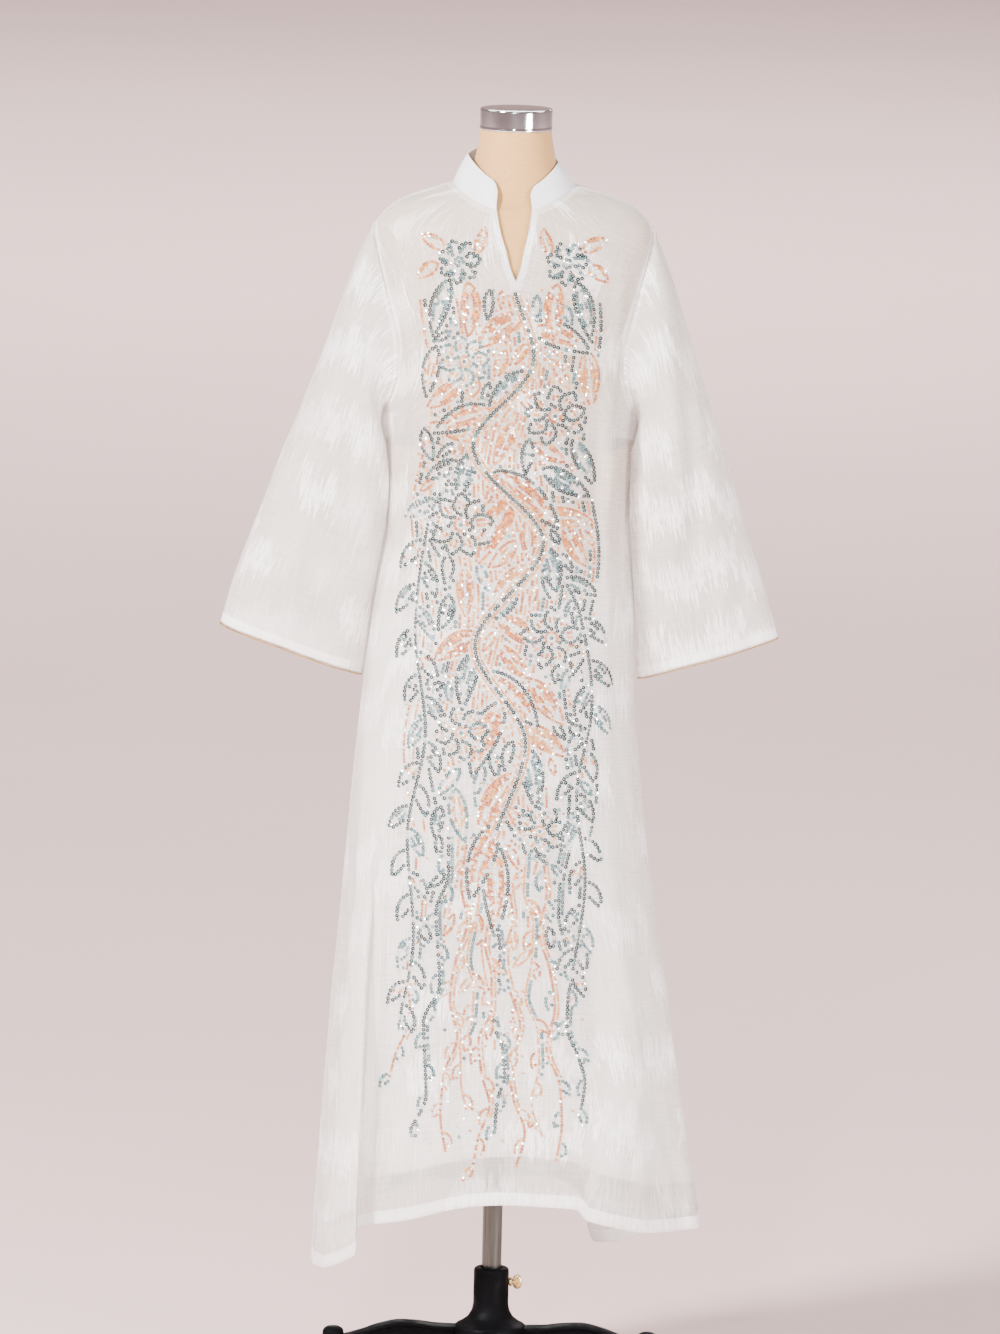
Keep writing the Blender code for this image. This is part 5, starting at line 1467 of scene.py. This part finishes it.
# Where a petal starts, its length and its width, as shares of the radius, and its turns in degrees
PETAL_FROM, PETAL_LENGTH, PETAL_WIDTH, PETAL_TURN, PETAL_BEND = 0.30, 0.72, 1.5, 12.0, 16.0
# Leaves: x, z, angle, length, width, bend, edge, fill; those beside the slit are on both sides
SLIT_LEAVES = (
    (0.092, 1.588, 35.0, 0.036, 0.016, -20.0, "peach", "gold"),
    (0.100, 1.568, -25.0, 0.034, 0.016, -25.0, "peach", "gold"),
    (0.084, 1.548, -66.0, 0.078, 0.024, -18.0, "dark", "pale"),
    (0.060, 1.546, -104.0, 0.072, 0.024, 25.0, "peach", "peach"),
    (0.050, 1.584, 118.0, 0.036, 0.014, -20.0, "peach", "gold"),
)
STEM_LEAVES = (
    (0.022, 1.492, -12.0, 0.092, 0.032, -24.0, "dark", "peach"),
    (0.018, 1.505, -158.0, 0.080, 0.030, 26.0, "peach", "peach"),
    (0.026, 1.430, -150.0, 0.070, 0.026, 20.0, "dark", "pale"),
    (0.010, 1.402, -28.0, 0.056, 0.022, -20.0, "peach", "gold"),
    (-0.020, 1.378, -172.0, 0.088, 0.032, 30.0, "dark", "peach"),
    (-0.048, 1.338, 150.0, 0.062, 0.022, 25.0, "peach", "gold"),
    (-0.046, 1.322, -118.0, 0.066, 0.024, 22.0, "dark", "pale"),
    (-0.020, 1.296, -30.0, 0.118, 0.036, -22.0, "dark", "peach"),
    (0.010, 1.262, -130.0, 0.106, 0.034, 24.0, "peach", "peach"),
    (0.036, 1.232, 8.0, 0.078, 0.028, -22.0, "peach", "gold"),
    (0.048, 1.196, -62.0, 0.064, 0.026, -24.0, "dark", "pale"),
    (0.036, 1.168, -152.0, 0.070, 0.026, 24.0, "peach", "gold"),
    (0.014, 1.136, -128.0, 0.062, 0.024, -22.0, "dark", "pale"),
    (-0.012, 1.100, -24.0, 0.070, 0.026, -26.0, "peach", "peach"),
    (-0.034, 1.076, -160.0, 0.072, 0.028, 26.0, "peach", "peach"),
    (-0.040, 1.052, -112.0, 0.078, 0.026, 22.0, "dark", "pale"),
    (-0.026, 1.026, -34.0, 0.104, 0.034, -24.0, "dark", "peach"),
    (0.000, 0.988, -122.0, 0.112, 0.036, 22.0, "dark", "peach"),
    (0.022, 0.952, -20.0, 0.074, 0.026, -26.0, "peach", "gold"),
    (0.030, 0.926, -70.0, 0.084, 0.028, -20.0, "dark", "pale"),
    (0.020, 0.890, -134.0, 0.094, 0.032, 24.0, "peach", "peach"),
    (0.002, 0.846, -40.0, 0.100, 0.032, -24.0, "dark", "peach"),
    (-0.006, 0.822, -116.0, 0.112, 0.034, 18.0, "dark", "peach"),
    (-0.010, 0.800, -84.0, 0.132, 0.034, -8.0, "dark", "peach"),
)
# top x, top z, bottom x, bottom z, wave, kind, kind of its leaflets
TENDRILS = (
    (-0.104, 0.740, -0.136, 0.470, 0.007, "peach", "pale"),
    (-0.070, 0.800, -0.106, 0.400, 0.009, "dark", "pale"),
    (-0.046, 0.790, -0.074, 0.372, -0.009, "peach", "gold"),
    (-0.030, 0.760, -0.046, 0.428, 0.008, "gold", "peach"),
    (-0.012, 0.700, -0.020, 0.350, -0.010, "peach", "peach"),
    (-0.002, 0.680, 0.008, 0.410, 0.008, "dark", "pale"),
    (0.012, 0.740, 0.034, 0.352, 0.010, "peach", "gold"),
    (0.034, 0.780, 0.062, 0.396, -0.009, "gold", "peach"),
    (0.056, 0.780, 0.092, 0.362, 0.009, "peach", "pale"),
    (0.080, 0.740, 0.118, 0.430, -0.008, "dark", "pale"),
)
TENDRIL_WAVELENGTH, TENDRIL_SECOND = 0.150, 0.0050
LEAFLET_EVERY, LEAFLET_LENGTH, LEAFLET_WIDTH, LEAFLET_SPREAD = 0.042, 0.030, 0.0125, 34.0
CHAIN_EVERY, CHAIN_LENGTH, CHAIN_WIDTH, CHAIN_SPREAD = 0.030, 0.052, 0.0190, 42.0
CHAIN_TAPER, CHAIN_BEND = 0.25, 22.0
CHAIN_KINDS = (("dark", "dark"), ("dark", "pale"), ("pale", "pale"), ("dark", "dark"), ("dark", "peach"))
STEM_ROW = 0.0050
# shortest, longest, number of tries
FILLED_ROUNDS = ((0.060, 0.085, 900), (0.036, 0.056, 2200), (0.022, 0.032, 1200))
FILLED_LOW, FILLED_HIGH, FILLED_REACH = 0.560, 1.545, 0.122
FILLED_ROOM = 0.0010
# Width as a share of the length, then how they fan out sideways, scatter and bend in degrees
FILLED_WIDTHS = (0.30, 0.38)
FILLED_FAN, FILLED_SCATTER, FILLED_BEND = 420.0, 26.0, 30.0
FILLED_KINDS = (
    ("peach", "peach"), ("peach", "gold"), ("gold", "peach"), ("peach", "peach"), ("pale", "gold"),
    ("dark", "pale"), ("dark", "peach"),
)
OUTER_KINDS = (("dark", "dark"), ("dark", "pale"), ("pale", "pale"), ("dark", "dark"))
OUTER_FROM, OUTER_BELOW = 0.066, 1.200
SINGLES = 400
SINGLES_LOW, SINGLES_HIGH, SINGLES_REACH, SINGLES_SPREAD = 0.380, 1.540, 0.125, 0.060
LINE_STEP = 0.001


def smooth_line(points, step=LINE_STEP):
    """Give a smooth line through points of (x, z), with points about a step apart."""
    points = np.array(points, float)
    keys = run(points, 0)
    return smooth_table(np.column_stack([keys, points]))(np.arange(0.0, keys[-1], step))


def headings(line):
    """Give the angle of a line's way at each of its points, in degrees."""
    way = np.gradient(line, axis=0)
    return np.degrees(np.unwrap(np.arctan2(way[:, 1], way[:, 0])))


def leaf_lines(x, z, angle, length, bend, count):
    """Give shares along a leaf, with the points of its vein there and the way across it."""
    share = np.linspace(0.0, 1.0, count)
    turn = np.radians(angle + bend * share)
    way = np.stack([np.cos(turn), np.sin(turn)], 1)
    vein = np.array([x, z]) + np.cumsum(way, 0) * length / count
    return share, vein, np.stack([-way[:, 1], way[:, 0]], 1)


class Needlework:
    """Sequins and beads of the front, each put down only where the ones before leave it room."""

    def __init__(self):
        self.places = {kind: [] for kind in KINDS}
        self.cells = {}
        self.cell = 2 * max(radius for radius, _ in KINDS.values())

    def is_free(self, x, z, radius):
        column, row = int(x // self.cell), int(z // self.cell)
        for i in (-1, 0, 1):
            for j in (-1, 0, 1):
                for other_x, other_z, other in self.cells.get((column + i, row + j), ()):
                    if math.hypot(x - other_x, z - other_z) < CROWDING * (radius + other):
                        return False
        return True

    def put(self, kind, x, z, heading):
        radius = KINDS[kind][0]
        if self.is_free(x, z, radius):
            key = (int(x // self.cell), int(z // self.cell))
            self.cells.setdefault(key, []).append((x, z, radius))
            self.places[kind].append((x, z, heading))

    def has_room(self, x, z, angle, length, width, bend):
        """Say whether a leaf would lie clear of what is sewn already."""
        share, vein, across = leaf_lines(x, z, angle, length, bend, 9)
        half = 0.55 * width * np.sin(math.pi * share) + 0.001
        spots = np.concatenate([vein, vein + half[:, None] * across, vein - half[:, None] * across])
        inside = np.abs(spots[:, 0]).max() < FILLED_REACH
        return inside and all(self.is_free(*spot, FILLED_ROOM) for spot in spots)

    def row(self, kind, line):
        """Put one kind in a row along a line."""
        if len(line) < 2:
            return
        length = run(line, 0)
        steps = np.arange(0.0, length[-1], KINDS[kind][1])
        for place in read_along(steps, length, np.column_stack([line, headings(line)])):
            self.put(kind, *place)

    def leaf(self, x, z, angle, length, width, bend, edge, fill):
        """Put an edge round a leaf, beads along its vein, and rows that follow the edge inside."""
        share, vein, across = leaf_lines(x, z, angle, length, bend, 90)
        half = width / 2 * np.sin(math.pi * share ** 0.8) ** 0.85
        for hand in (-1, 1):
            self.row(edge, vein + hand * half[:, None] * across)
        self.row("bead", vein[8:-10])
        gap = KINDS[fill][1] * FILL_GAP
        for number in range(1, int(width / 2 / gap) + 1):
            inner = half - number * gap
            kept = inner > 0.35 * gap
            for hand in (-1, 1):
                self.row(fill, (vein + hand * inner[:, None] * across)[kept])

    def rosette(self, x, z, radius, petals, edge, fill):
        """Put a ring of small leaves round a heart of beads."""
        for reach, kind in ((0.0, "pale"), (0.10, "bead"), (0.20, fill)):
            count = max(1, int(2 * math.pi * reach * radius / KINDS[kind][1]))
            for i in range(count):
                turn = 2 * math.pi * i / count
                place = (x + reach * radius * math.cos(turn), z + reach * radius * math.sin(turn))
                self.put(kind, *place, math.degrees(turn) + 90.0)
        for i in range(petals):
            angle = 360.0 * i / petals + PETAL_TURN
            turn = math.radians(angle)
            start = (x + PETAL_FROM * radius * math.cos(turn), z + PETAL_FROM * radius * math.sin(turn))
            width = PETAL_WIDTH * radius * math.sin(math.pi / petals)
            self.leaf(
                *start, angle - PETAL_BEND / 2, PETAL_LENGTH * radius, width, PETAL_BEND, edge, fill,
            )

    def chain(self, points, stem, kinds, every, length, width, spread):
        """Put small leaves on both sides of a stem, their kinds in turn."""
        line = smooth_line(points)
        self.row(stem, line)
        turned = headings(line)
        whole = LINE_STEP * len(line)
        for number, at in enumerate(np.arange(every / 2, whole, every)):
            i = min(int(at / LINE_STEP), len(line) - 1)
            hand = 1 if number % 2 else -1
            size = 1.0 - CHAIN_TAPER * at / whole
            angle = turned[i] + hand * spread
            edge, fill = kinds[number % len(kinds)]
            self.leaf(*line[i], angle, size * length, size * width, -hand * CHAIN_BEND, edge, fill)

    def tendril(self, top_x, top_z, low_x, low_z, wave, kind, leaflet):
        """Hang a swaying tendril with leaflets, and a second line beside it."""
        share = np.linspace(0.0, 1.0, 9)
        z = top_z + (low_z - top_z) * share
        sway = wave * np.sin(2 * math.pi * (top_z - z) / TENDRIL_WAVELENGTH) * np.minimum(1.0, 4 * share)
        line = np.column_stack([top_x + (low_x - top_x) * share ** 1.2 + sway, z])
        kinds = ((leaflet, leaflet), (leaflet, "gold"))
        self.chain(line, kind, kinds, LEAFLET_EVERY, LEAFLET_LENGTH, LEAFLET_WIDTH, LEAFLET_SPREAD)
        beside = smooth_line(line + np.array([TENDRIL_SECOND, 0.0]))
        self.row("gold" if kind == "peach" else "pale", beside[:int(0.8 * len(beside))])


def fill_with_leaves(work, rng):
    """Put loose leaves wherever there is room, the long ones first, pointing down and outwards."""
    for low_length, high_length, tries in FILLED_ROUNDS:
        for _ in range(tries):
            x = rng.uniform(-FILLED_REACH, FILLED_REACH)
            z = FILLED_LOW + (FILLED_HIGH - FILLED_LOW) * rng.uniform(0.0, 1.0) ** 0.75
            length = rng.uniform(low_length, high_length)
            width = length * rng.uniform(*FILLED_WIDTHS)
            angle = -90.0 + FILLED_FAN * x + rng.normal(0.0, FILLED_SCATTER)
            bend = rng.uniform(-FILLED_BEND, FILLED_BEND)
            outer = abs(x) > OUTER_FROM and z < OUTER_BELOW
            kinds = OUTER_KINDS if outer else FILLED_KINDS
            edge, fill = kinds[rng.integers(len(kinds))]
            if work.has_room(x, z, angle, length, width, bend):
                work.leaf(x, z, angle, length, width, bend, edge, fill)


def fill_with_lines(work, rng):
    """Run long swaying lines down the front, only where what is sewn already leaves them room."""
    kept = []
    for number, start in enumerate(np.arange(-LINES_REACH, LINES_REACH, LINES_GAP)):
        length = rng.uniform(LINES_SHORTEST, LINES_LONGEST) * (1.0 - 1.8 * abs(start))
        down = np.arange(0.0, length, LINES_STEP)
        sway = LINES_SWAY * np.sin(2 * math.pi * down / LINES_WAVELENGTH + 9.0 * start)
        x = start * (0.94 + LINES_SPREAD * down) + sway
        kind = LINE_KINDS[number % len(LINE_KINDS)]
        if abs(start) > OUTER_FROM and number % 2:
            kind = "dark"
        line = smooth_line(np.column_stack([x, LINES_TOP - 0.10 * abs(start) - down]), KINDS[kind][1])
        for place, heading in zip(line, headings(line)):
            if work.is_free(*place, KINDS[kind][0] + LINES_ROOM):
                kept.append((kind, *place, float(heading)))
    for row in kept:
        work.put(*row)


def draw_embroidery():
    """Lay out the whole design and give its needlework."""
    work = Needlework()
    stem = smooth_line(MAIN_STEM)
    work.row("dark", stem)
    turn = np.radians(headings(stem))
    across = np.stack([-np.sin(turn), np.cos(turn)], 1)
    for distance in (-STEM_ROW, STEM_ROW):
        work.row("gold", stem + distance * across)
    for row in ROSETTES:
        work.rosette(*row)
    other_side = [
        (-x, z, 180.0 - angle, length, width, -bend, *kinds)
        for x, z, angle, length, width, bend, *kinds in SLIT_LEAVES
    ]
    for row in (*SLIT_LEAVES, *other_side, *STEM_LEAVES):
        work.leaf(*row)
    for points in (RIGHT_STEM, LEFT_STEM):
        work.chain(points, "dark", CHAIN_KINDS, CHAIN_EVERY, CHAIN_LENGTH, CHAIN_WIDTH, CHAIN_SPREAD)
    for row in TENDRILS:
        work.tendril(*row)
    rng = np.random.default_rng(11)
    fill_with_leaves(work, rng)
    fill_with_lines(work, rng)
    for z in rng.uniform(SINGLES_LOW, SINGLES_HIGH, SINGLES):
        middle = np.interp(-z, -stem[:, 1], stem[:, 0])
        spread = SINGLES_SPREAD * (1.25 - 0.5 * ease((z - 0.9) / 0.5))
        x = middle + rng.normal(0.0, spread)
        kind = rng.choice(["bead", "gold", "pale"])
        if abs(x) < SINGLES_REACH:
            work.put(str(kind), x, z, rng.uniform(0.0, 360.0))
    return work


def on_cloth(places, surface, lift, jitter, rng):
    """Bring places drawn in x and z onto the cloth, each a little tilted as thread leaves it."""
    at, facing, along = [], [], []
    for x, z, heading in places:
        hit, normal, _, _ = surface.ray_cast(Vector((x, -0.6, z)), Vector((0.0, 1.0, 0.0)))
        if hit is None or hit.y > 0.0:
            continue
        normal = -normal if normal.y > 0 else normal
        turn = math.radians(heading)
        tilt = Vector(rng.normal(0.0, jitter, 3).tolist())
        at.append(hit + lift * normal)
        facing.append((normal + tilt).normalized())
        along.append(Vector((math.cos(turn), 0.0, math.sin(turn))))
    places = {"at": np.array(at), "facing": np.array(facing), "along": np.array(along)}
    return {**places, **chances(len(at), 0.93, 1.07, rng)}


# Studio

CAMERA_AIM = Vector((-0.006, 0.0, 1.013))
CAMERA_DISTANCE, CAMERA_ELEVATION, CAMERA_ROLL = 14.0, 8.5, 1.235
CAMERA_LENS, CAMERA_SENSOR, CAMERA_REACH = 279.8, 36.0, 100.0
FLOOR_PROFILE = (
    (0.0, 0.0), (2.0, 0.0), (8.0, 0.0), (24.0, 0.0), (28.0, 0.5), (31.0, 2.0), (33.0, 5.0), (33.5, 14.0),
)
SKY_COLOUR, SKY_STRENGTH = (1.0, 0.98, 0.975, 1.0), 0.36
FLOOR_COLOUR = (0.70, 0.51, 0.49)
# name, place, what it is aimed at, size, power, colour
LIGHTS = (
    ("key", (-4.4, -4.2, 4.4), (0.0, 0.0, 1.0), 1.4, 1850.0, (1.0, 0.985, 0.965)),
    ("front", (-0.8, -6.5, 2.9), (0.0, 0.0, 1.0), 0.25, 300.0, (1.0, 0.99, 0.975)),
    ("fill", (4.4, -4.8, 0.9), (0.1, 0.0, 0.4), 2.0, 720.0, (1.0, 0.99, 0.98)),
    ("rim", (2.4, 4.6, 3.8), (0.0, 0.0, 1.1), 2.0, 130.0, (1.0, 0.98, 0.96)),
    ("floor_back", (0.0, 14.0, 9.0), (0.0, 15.0, 0.0), 8.0, 2600.0, (1.0, 0.98, 0.97)),
    ("floor_right", (14.0, 0.0, 9.0), (15.0, 0.0, 0.0), 8.0, 1800.0, (1.0, 0.98, 0.97)),
    ("floor_left", (-14.0, 0.0, 9.0), (-15.0, 0.0, 0.0), 8.0, 1800.0, (1.0, 0.98, 0.97)),
    ("floor_front", (0.0, -15.0, 9.0), (0.0, -16.0, 0.0), 8.0, 1200.0, (1.0, 0.98, 0.97)),
)


def make_camera():
    """Set the camera where the photo was taken from."""
    elevation = math.radians(CAMERA_ELEVATION)
    back = Vector((0.0, -math.cos(elevation), math.sin(elevation)))
    roll = Quaternion((0.0, 0.0, 1.0), math.radians(CAMERA_ROLL))
    camera = bpy.data.objects.new("camera", bpy.data.cameras.new("camera"))
    camera.data.lens, camera.data.sensor_width = CAMERA_LENS, CAMERA_SENSOR
    camera.data.clip_end = CAMERA_REACH
    camera.location = CAMERA_AIM + CAMERA_DISTANCE * back
    camera.rotation_mode = "QUATERNION"
    camera.rotation_quaternion = (-back).to_track_quat("-Z", "Y") @ roll
    bpy.context.scene.collection.objects.link(camera)
    bpy.context.scene.camera = camera


def make_floor():
    """Lay a pale floor that runs up into a plain wall far off, all round."""
    material, tree, shader = new_material("studio_paper", {"Roughness": 0.9, "Specular IOR Level": 0.1})
    stain = remap(tree, noise(tree, object_place(tree), 0.7), 0.3, 0.7)
    colour = blend_colours(tree, stain, opaque(FLOOR_COLOUR), opaque(FLOOR_COLOUR, 1.03))
    fill_inputs(tree, shader, {"Base Color": colour})
    solid = Solid()
    solid.turn(FLOOR_PROFILE, 96)
    floor = solid.build("studio_floor", material)


def make_lights():
    """Give the studio an even sky and its round lamps."""
    world = bpy.data.worlds.new("studio")
    world.use_nodes = True
    sky = world.node_tree.nodes["Background"]
    sky.inputs["Color"].default_value = SKY_COLOUR
    sky.inputs["Strength"].default_value = SKY_STRENGTH
    bpy.context.scene.world = world
    for name, place, aim, size, power, colour in LIGHTS:
        light = bpy.data.lights.new(name, "AREA")
        light.shape = "DISK"
        light.size, light.energy, light.color = size, power, colour
        lamp = bpy.data.objects.new(name, light)
        lamp.location = place
        lamp.rotation_mode = "QUATERNION"
        lamp.rotation_quaternion = (Vector(aim) - Vector(place)).to_track_quat("-Z", "Y")
        bpy.context.scene.collection.objects.link(lamp)


make_camera()
make_floor()
make_lights()


# Finishes

WHITE = (0.775, 0.725, 0.690)
BRIGHT = (0.96, 0.945, 0.93)
SLEEVE_WHITE = (0.70, 0.66, 0.625)
COVER_CREAM = (0.49, 0.27, 0.10)
TOP_TONE_FROM, TOP_TONE_TO = 1.080, 1.300
body_gauze = gauze_material("body_gauze", WHITE, BRIGHT, 0.54, 0.34, SKIRT_HEM, LINING_SHORTER)
sleeve_gauze = gauze_material("sleeve_gauze", SLEEVE_WHITE, BRIGHT, 0.60, 0.16, CUFF_HEM, -1.0)
band_cloth = cloth_material(
    "band_cloth", flat_place, (0.66, 0.645, 0.67), (0.76, 0.745, 0.77), 900.0, 0.75, 0.3
)
slip_cloth = cloth_material(
    "slip_cloth", flat_place, (0.78, 0.735, 0.71), (0.87, 0.83, 0.81), 1500.0, 0.62, 0.15, top=COVER_CREAM
)
cover_cloth = cloth_material(
    "cream_cloth_cover", object_place, (0.44, 0.225, 0.076), (0.54, 0.315, 0.125), 1300.0, 0.80, 0.4
)
gold_thread = metal_material("gold_thread", (0.42, 0.22, 0.035), (0.66, 0.42, 0.11), 0.38, 0.6, 900.0, 0.2)
bright_chrome = metal_material(
    "bright_chrome", (0.78, 0.84, 0.88), (0.88, 0.92, 0.94), 0.10, 1.0, 60.0, 0.02
)
brushed_pole = metal_material(
    "brushed_pole", (0.086, 0.092, 0.082), (0.18, 0.185, 0.17), 0.30, 1.0, 300.0, 0.15, (1.0, 1.0, 0.03)
)
black_casting = metal_material(
    "black_casting", (0.002, 0.002, 0.0025), (0.008, 0.008, 0.009), 0.55, 0.0, 260.0, 0.5, gloss=0.03
)
old_brass = metal_material("old_brass", (0.58, 0.42, 0.18), (0.80, 0.65, 0.36), 0.30, 1.0, 200.0, 0.15)
black_rubber = metal_material(
    "black_rubber", (0.006, 0.006, 0.007), (0.016, 0.016, 0.016), 0.75, 0.0, 400.0, 0.4, gloss=0.06
)


# Pieces

front_gauze, front_halves = build_front(body_gauze)
back_gauze, back_sheet = build_back(body_gauze)
sleeve_left_gauze, left_sleeve = build_sleeve("sleeve_left_gauze", -1, LEFT_SLEEVE_ROWS, sleeve_gauze)
sleeve_right_gauze, right_sleeve = build_sleeve("sleeve_right_gauze", 1, RIGHT_SLEEVE_ROWS, sleeve_gauze)
collar_band, collar_sheet = build_collar(band_cloth)
facing_strips = build_facing(band_cloth)
lining_slip = build_lining(slip_cloth)
cuff_cord_left = build_cuff_cord("cuff_cord_left", left_sleeve, gold_thread)
cuff_cord_right = build_cuff_cord("cuff_cord_right", right_sleeve, gold_thread)
form_cover = build_form(cover_cloth)
cap_chrome = turned_piece("cap_chrome", CAP_PROFILE, 0.0012, 128, bright_chrome)
pole_tube = turned_piece("pole_tube", POLE_PROFILE, 0.0010, 64, brushed_pole)
base_casting = build_base(black_casting)
glides = build_glides(black_rubber)
screw_brass = build_thumb_screw(old_brass)


# Sewn pieces

SEQUIN_LIFT, SEQUIN_TILT = 0.0003, 0.16
# The last tone of each finish is near white: partly metal foil, partly painted highlight for glints.
sequin_foils = {
    "dark": sequin_material(
        "dark_teal_foil", 0.10, 0.35,
        (0.0, (0.004, 0.020, 0.024)), (0.45, (0.010, 0.042, 0.048)), (0.78, (0.050, 0.125, 0.135)),
        (0.88, (0.80, 0.86, 0.86)),
    ),
    "pale": sequin_material(
        "pale_teal_foil", 0.15, 0.32,
        (0.0, (0.014, 0.070, 0.083)), (0.40, (0.040, 0.130, 0.145)), (0.72, (0.12, 0.26, 0.27)),
        (0.85, (0.88, 0.96, 0.97)),
    ),
    "peach": sequin_material(
        "peach_foil", 0.25, 0.35,
        (0.0, (0.30, 0.070, 0.012)), (0.28, (0.44, 0.130, 0.024)), (0.60, (0.62, 0.250, 0.060)),
        (0.82, (1.0, 0.93, 0.86)),
    ),
    "gold": sequin_material(
        "gold_cream_foil", 0.25, 0.35,
        (0.0, (0.44, 0.155, 0.028)), (0.40, (0.62, 0.270, 0.065)), (0.80, (1.0, 0.93, 0.84)),
    ),
    "bead": sequin_material(
        "clear_bead", 0.60, 0.15, (0.0, (0.90, 0.92, 0.92)), (0.60, (0.98, 0.96, 0.93)),
    ),
}
work = draw_embroidery()
front_surface = BVHTree.FromObject(front_gauze, bpy.context.evaluated_depsgraph_get())
SEED = 5
rng = np.random.default_rng(SEED)
embroidery = []
for kind, (radius, _) in KINDS.items():
    if kind == "bead":
        shape = bead_shape(radius)
    elif kind in ("dark", "pale"):
        shape = sequin_shape(radius, 8, 0.32)
    else:
        shape = sequin_shape(radius, 6, 0.24)
    places = on_cloth(work.places[kind], front_surface, SEQUIN_LIFT, SEQUIN_TILT, rng)
    embroidery.append(sew(f"embroidery_{kind}", places, shape, sequin_foils[kind]))

STITCH_LENGTH, STITCH_RADIUS, STITCH_PITCH = 0.0026, 0.00017, 0.0033
SKIRT_STITCHES, CUFF_STITCHES, COLLAR_ROWS, SLIT_STITCHES = 0.0155, 0.0135, (1, 12), 0.0085
sewing_thread = cloth_material(
    "sewing_thread", object_place, (0.62, 0.58, 0.55), (0.80, 0.77, 0.74), 2600.0, 0.6, 0.3
)
seams = []
for grid, normals in (*front_halves, back_sheet):
    seams.append(rows_above([SKIRT_STITCHES], grid, grid, normals))
for grid, normals in (left_sleeve, right_sleeve):
    seams.append(rows_above([CUFF_STITCHES], grid[::-1], grid[::-1], normals[::-1]))
for row in COLLAR_ROWS:
    seams.append((collar_sheet[0][row:row + 1], collar_sheet[1][row:row + 1]))
slit_z = np.linspace(SLIT_LEVEL_Z - 0.010, NECK_Z - 0.002, 40)
for side in (-1, 1):
    points, out = front_face(centre_x(slit_z) + side * (slit_half_width(slit_z) + SLIT_STITCHES), slit_z)
    seams.append(((points + PROUD * out)[None], out[None]))
stitch = stitch_shape(STITCH_LENGTH, STITCH_RADIUS)
places = joined([stitch_places(path[0], out[0], STITCH_PITCH, rng) for path, out in seams])
stitches = sew("stitch_rows", places, stitch, sewing_thread)

# piece, body, the solid that it stands for, slot
PLACES = [
    (front_gauze, "form", "front", "gauze"),
    (back_gauze, "form", "back", "gauze"),
    (sleeve_left_gauze, "form", "sleeve_left", "gauze"),
    (sleeve_right_gauze, "form", "sleeve_right", "gauze"),
    (collar_band, "form", "collar", "collar_cloth"),
    (facing_strips, "form", "slit_facing", "collar_cloth"),
    (lining_slip, "form", "lining", "slip"),
    (cuff_cord_left, "form", "cuff_piping_left", "gold_cord"),
    (cuff_cord_right, "form", "cuff_piping_right", "gold_cord"),
    (form_cover, "form", "torso", "cream_cover"),
    (cap_chrome, "form", "neck_cap", "chrome"),
    (pole_tube, "post", "pole", "pole_steel"),
    (base_casting, "stand", "base", "black_iron"),
    (screw_brass, "screw", "thumb_screw", "brass"),
]
PLACES += [(glide, "stand", f"foot_{i}", "rubber") for i, glide in enumerate(glides, 1)]
for piece, body, node, slot in PLACES:
    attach(piece, body)
    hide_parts(node)
for piece in (*embroidery, stitches):
    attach(piece, "form")
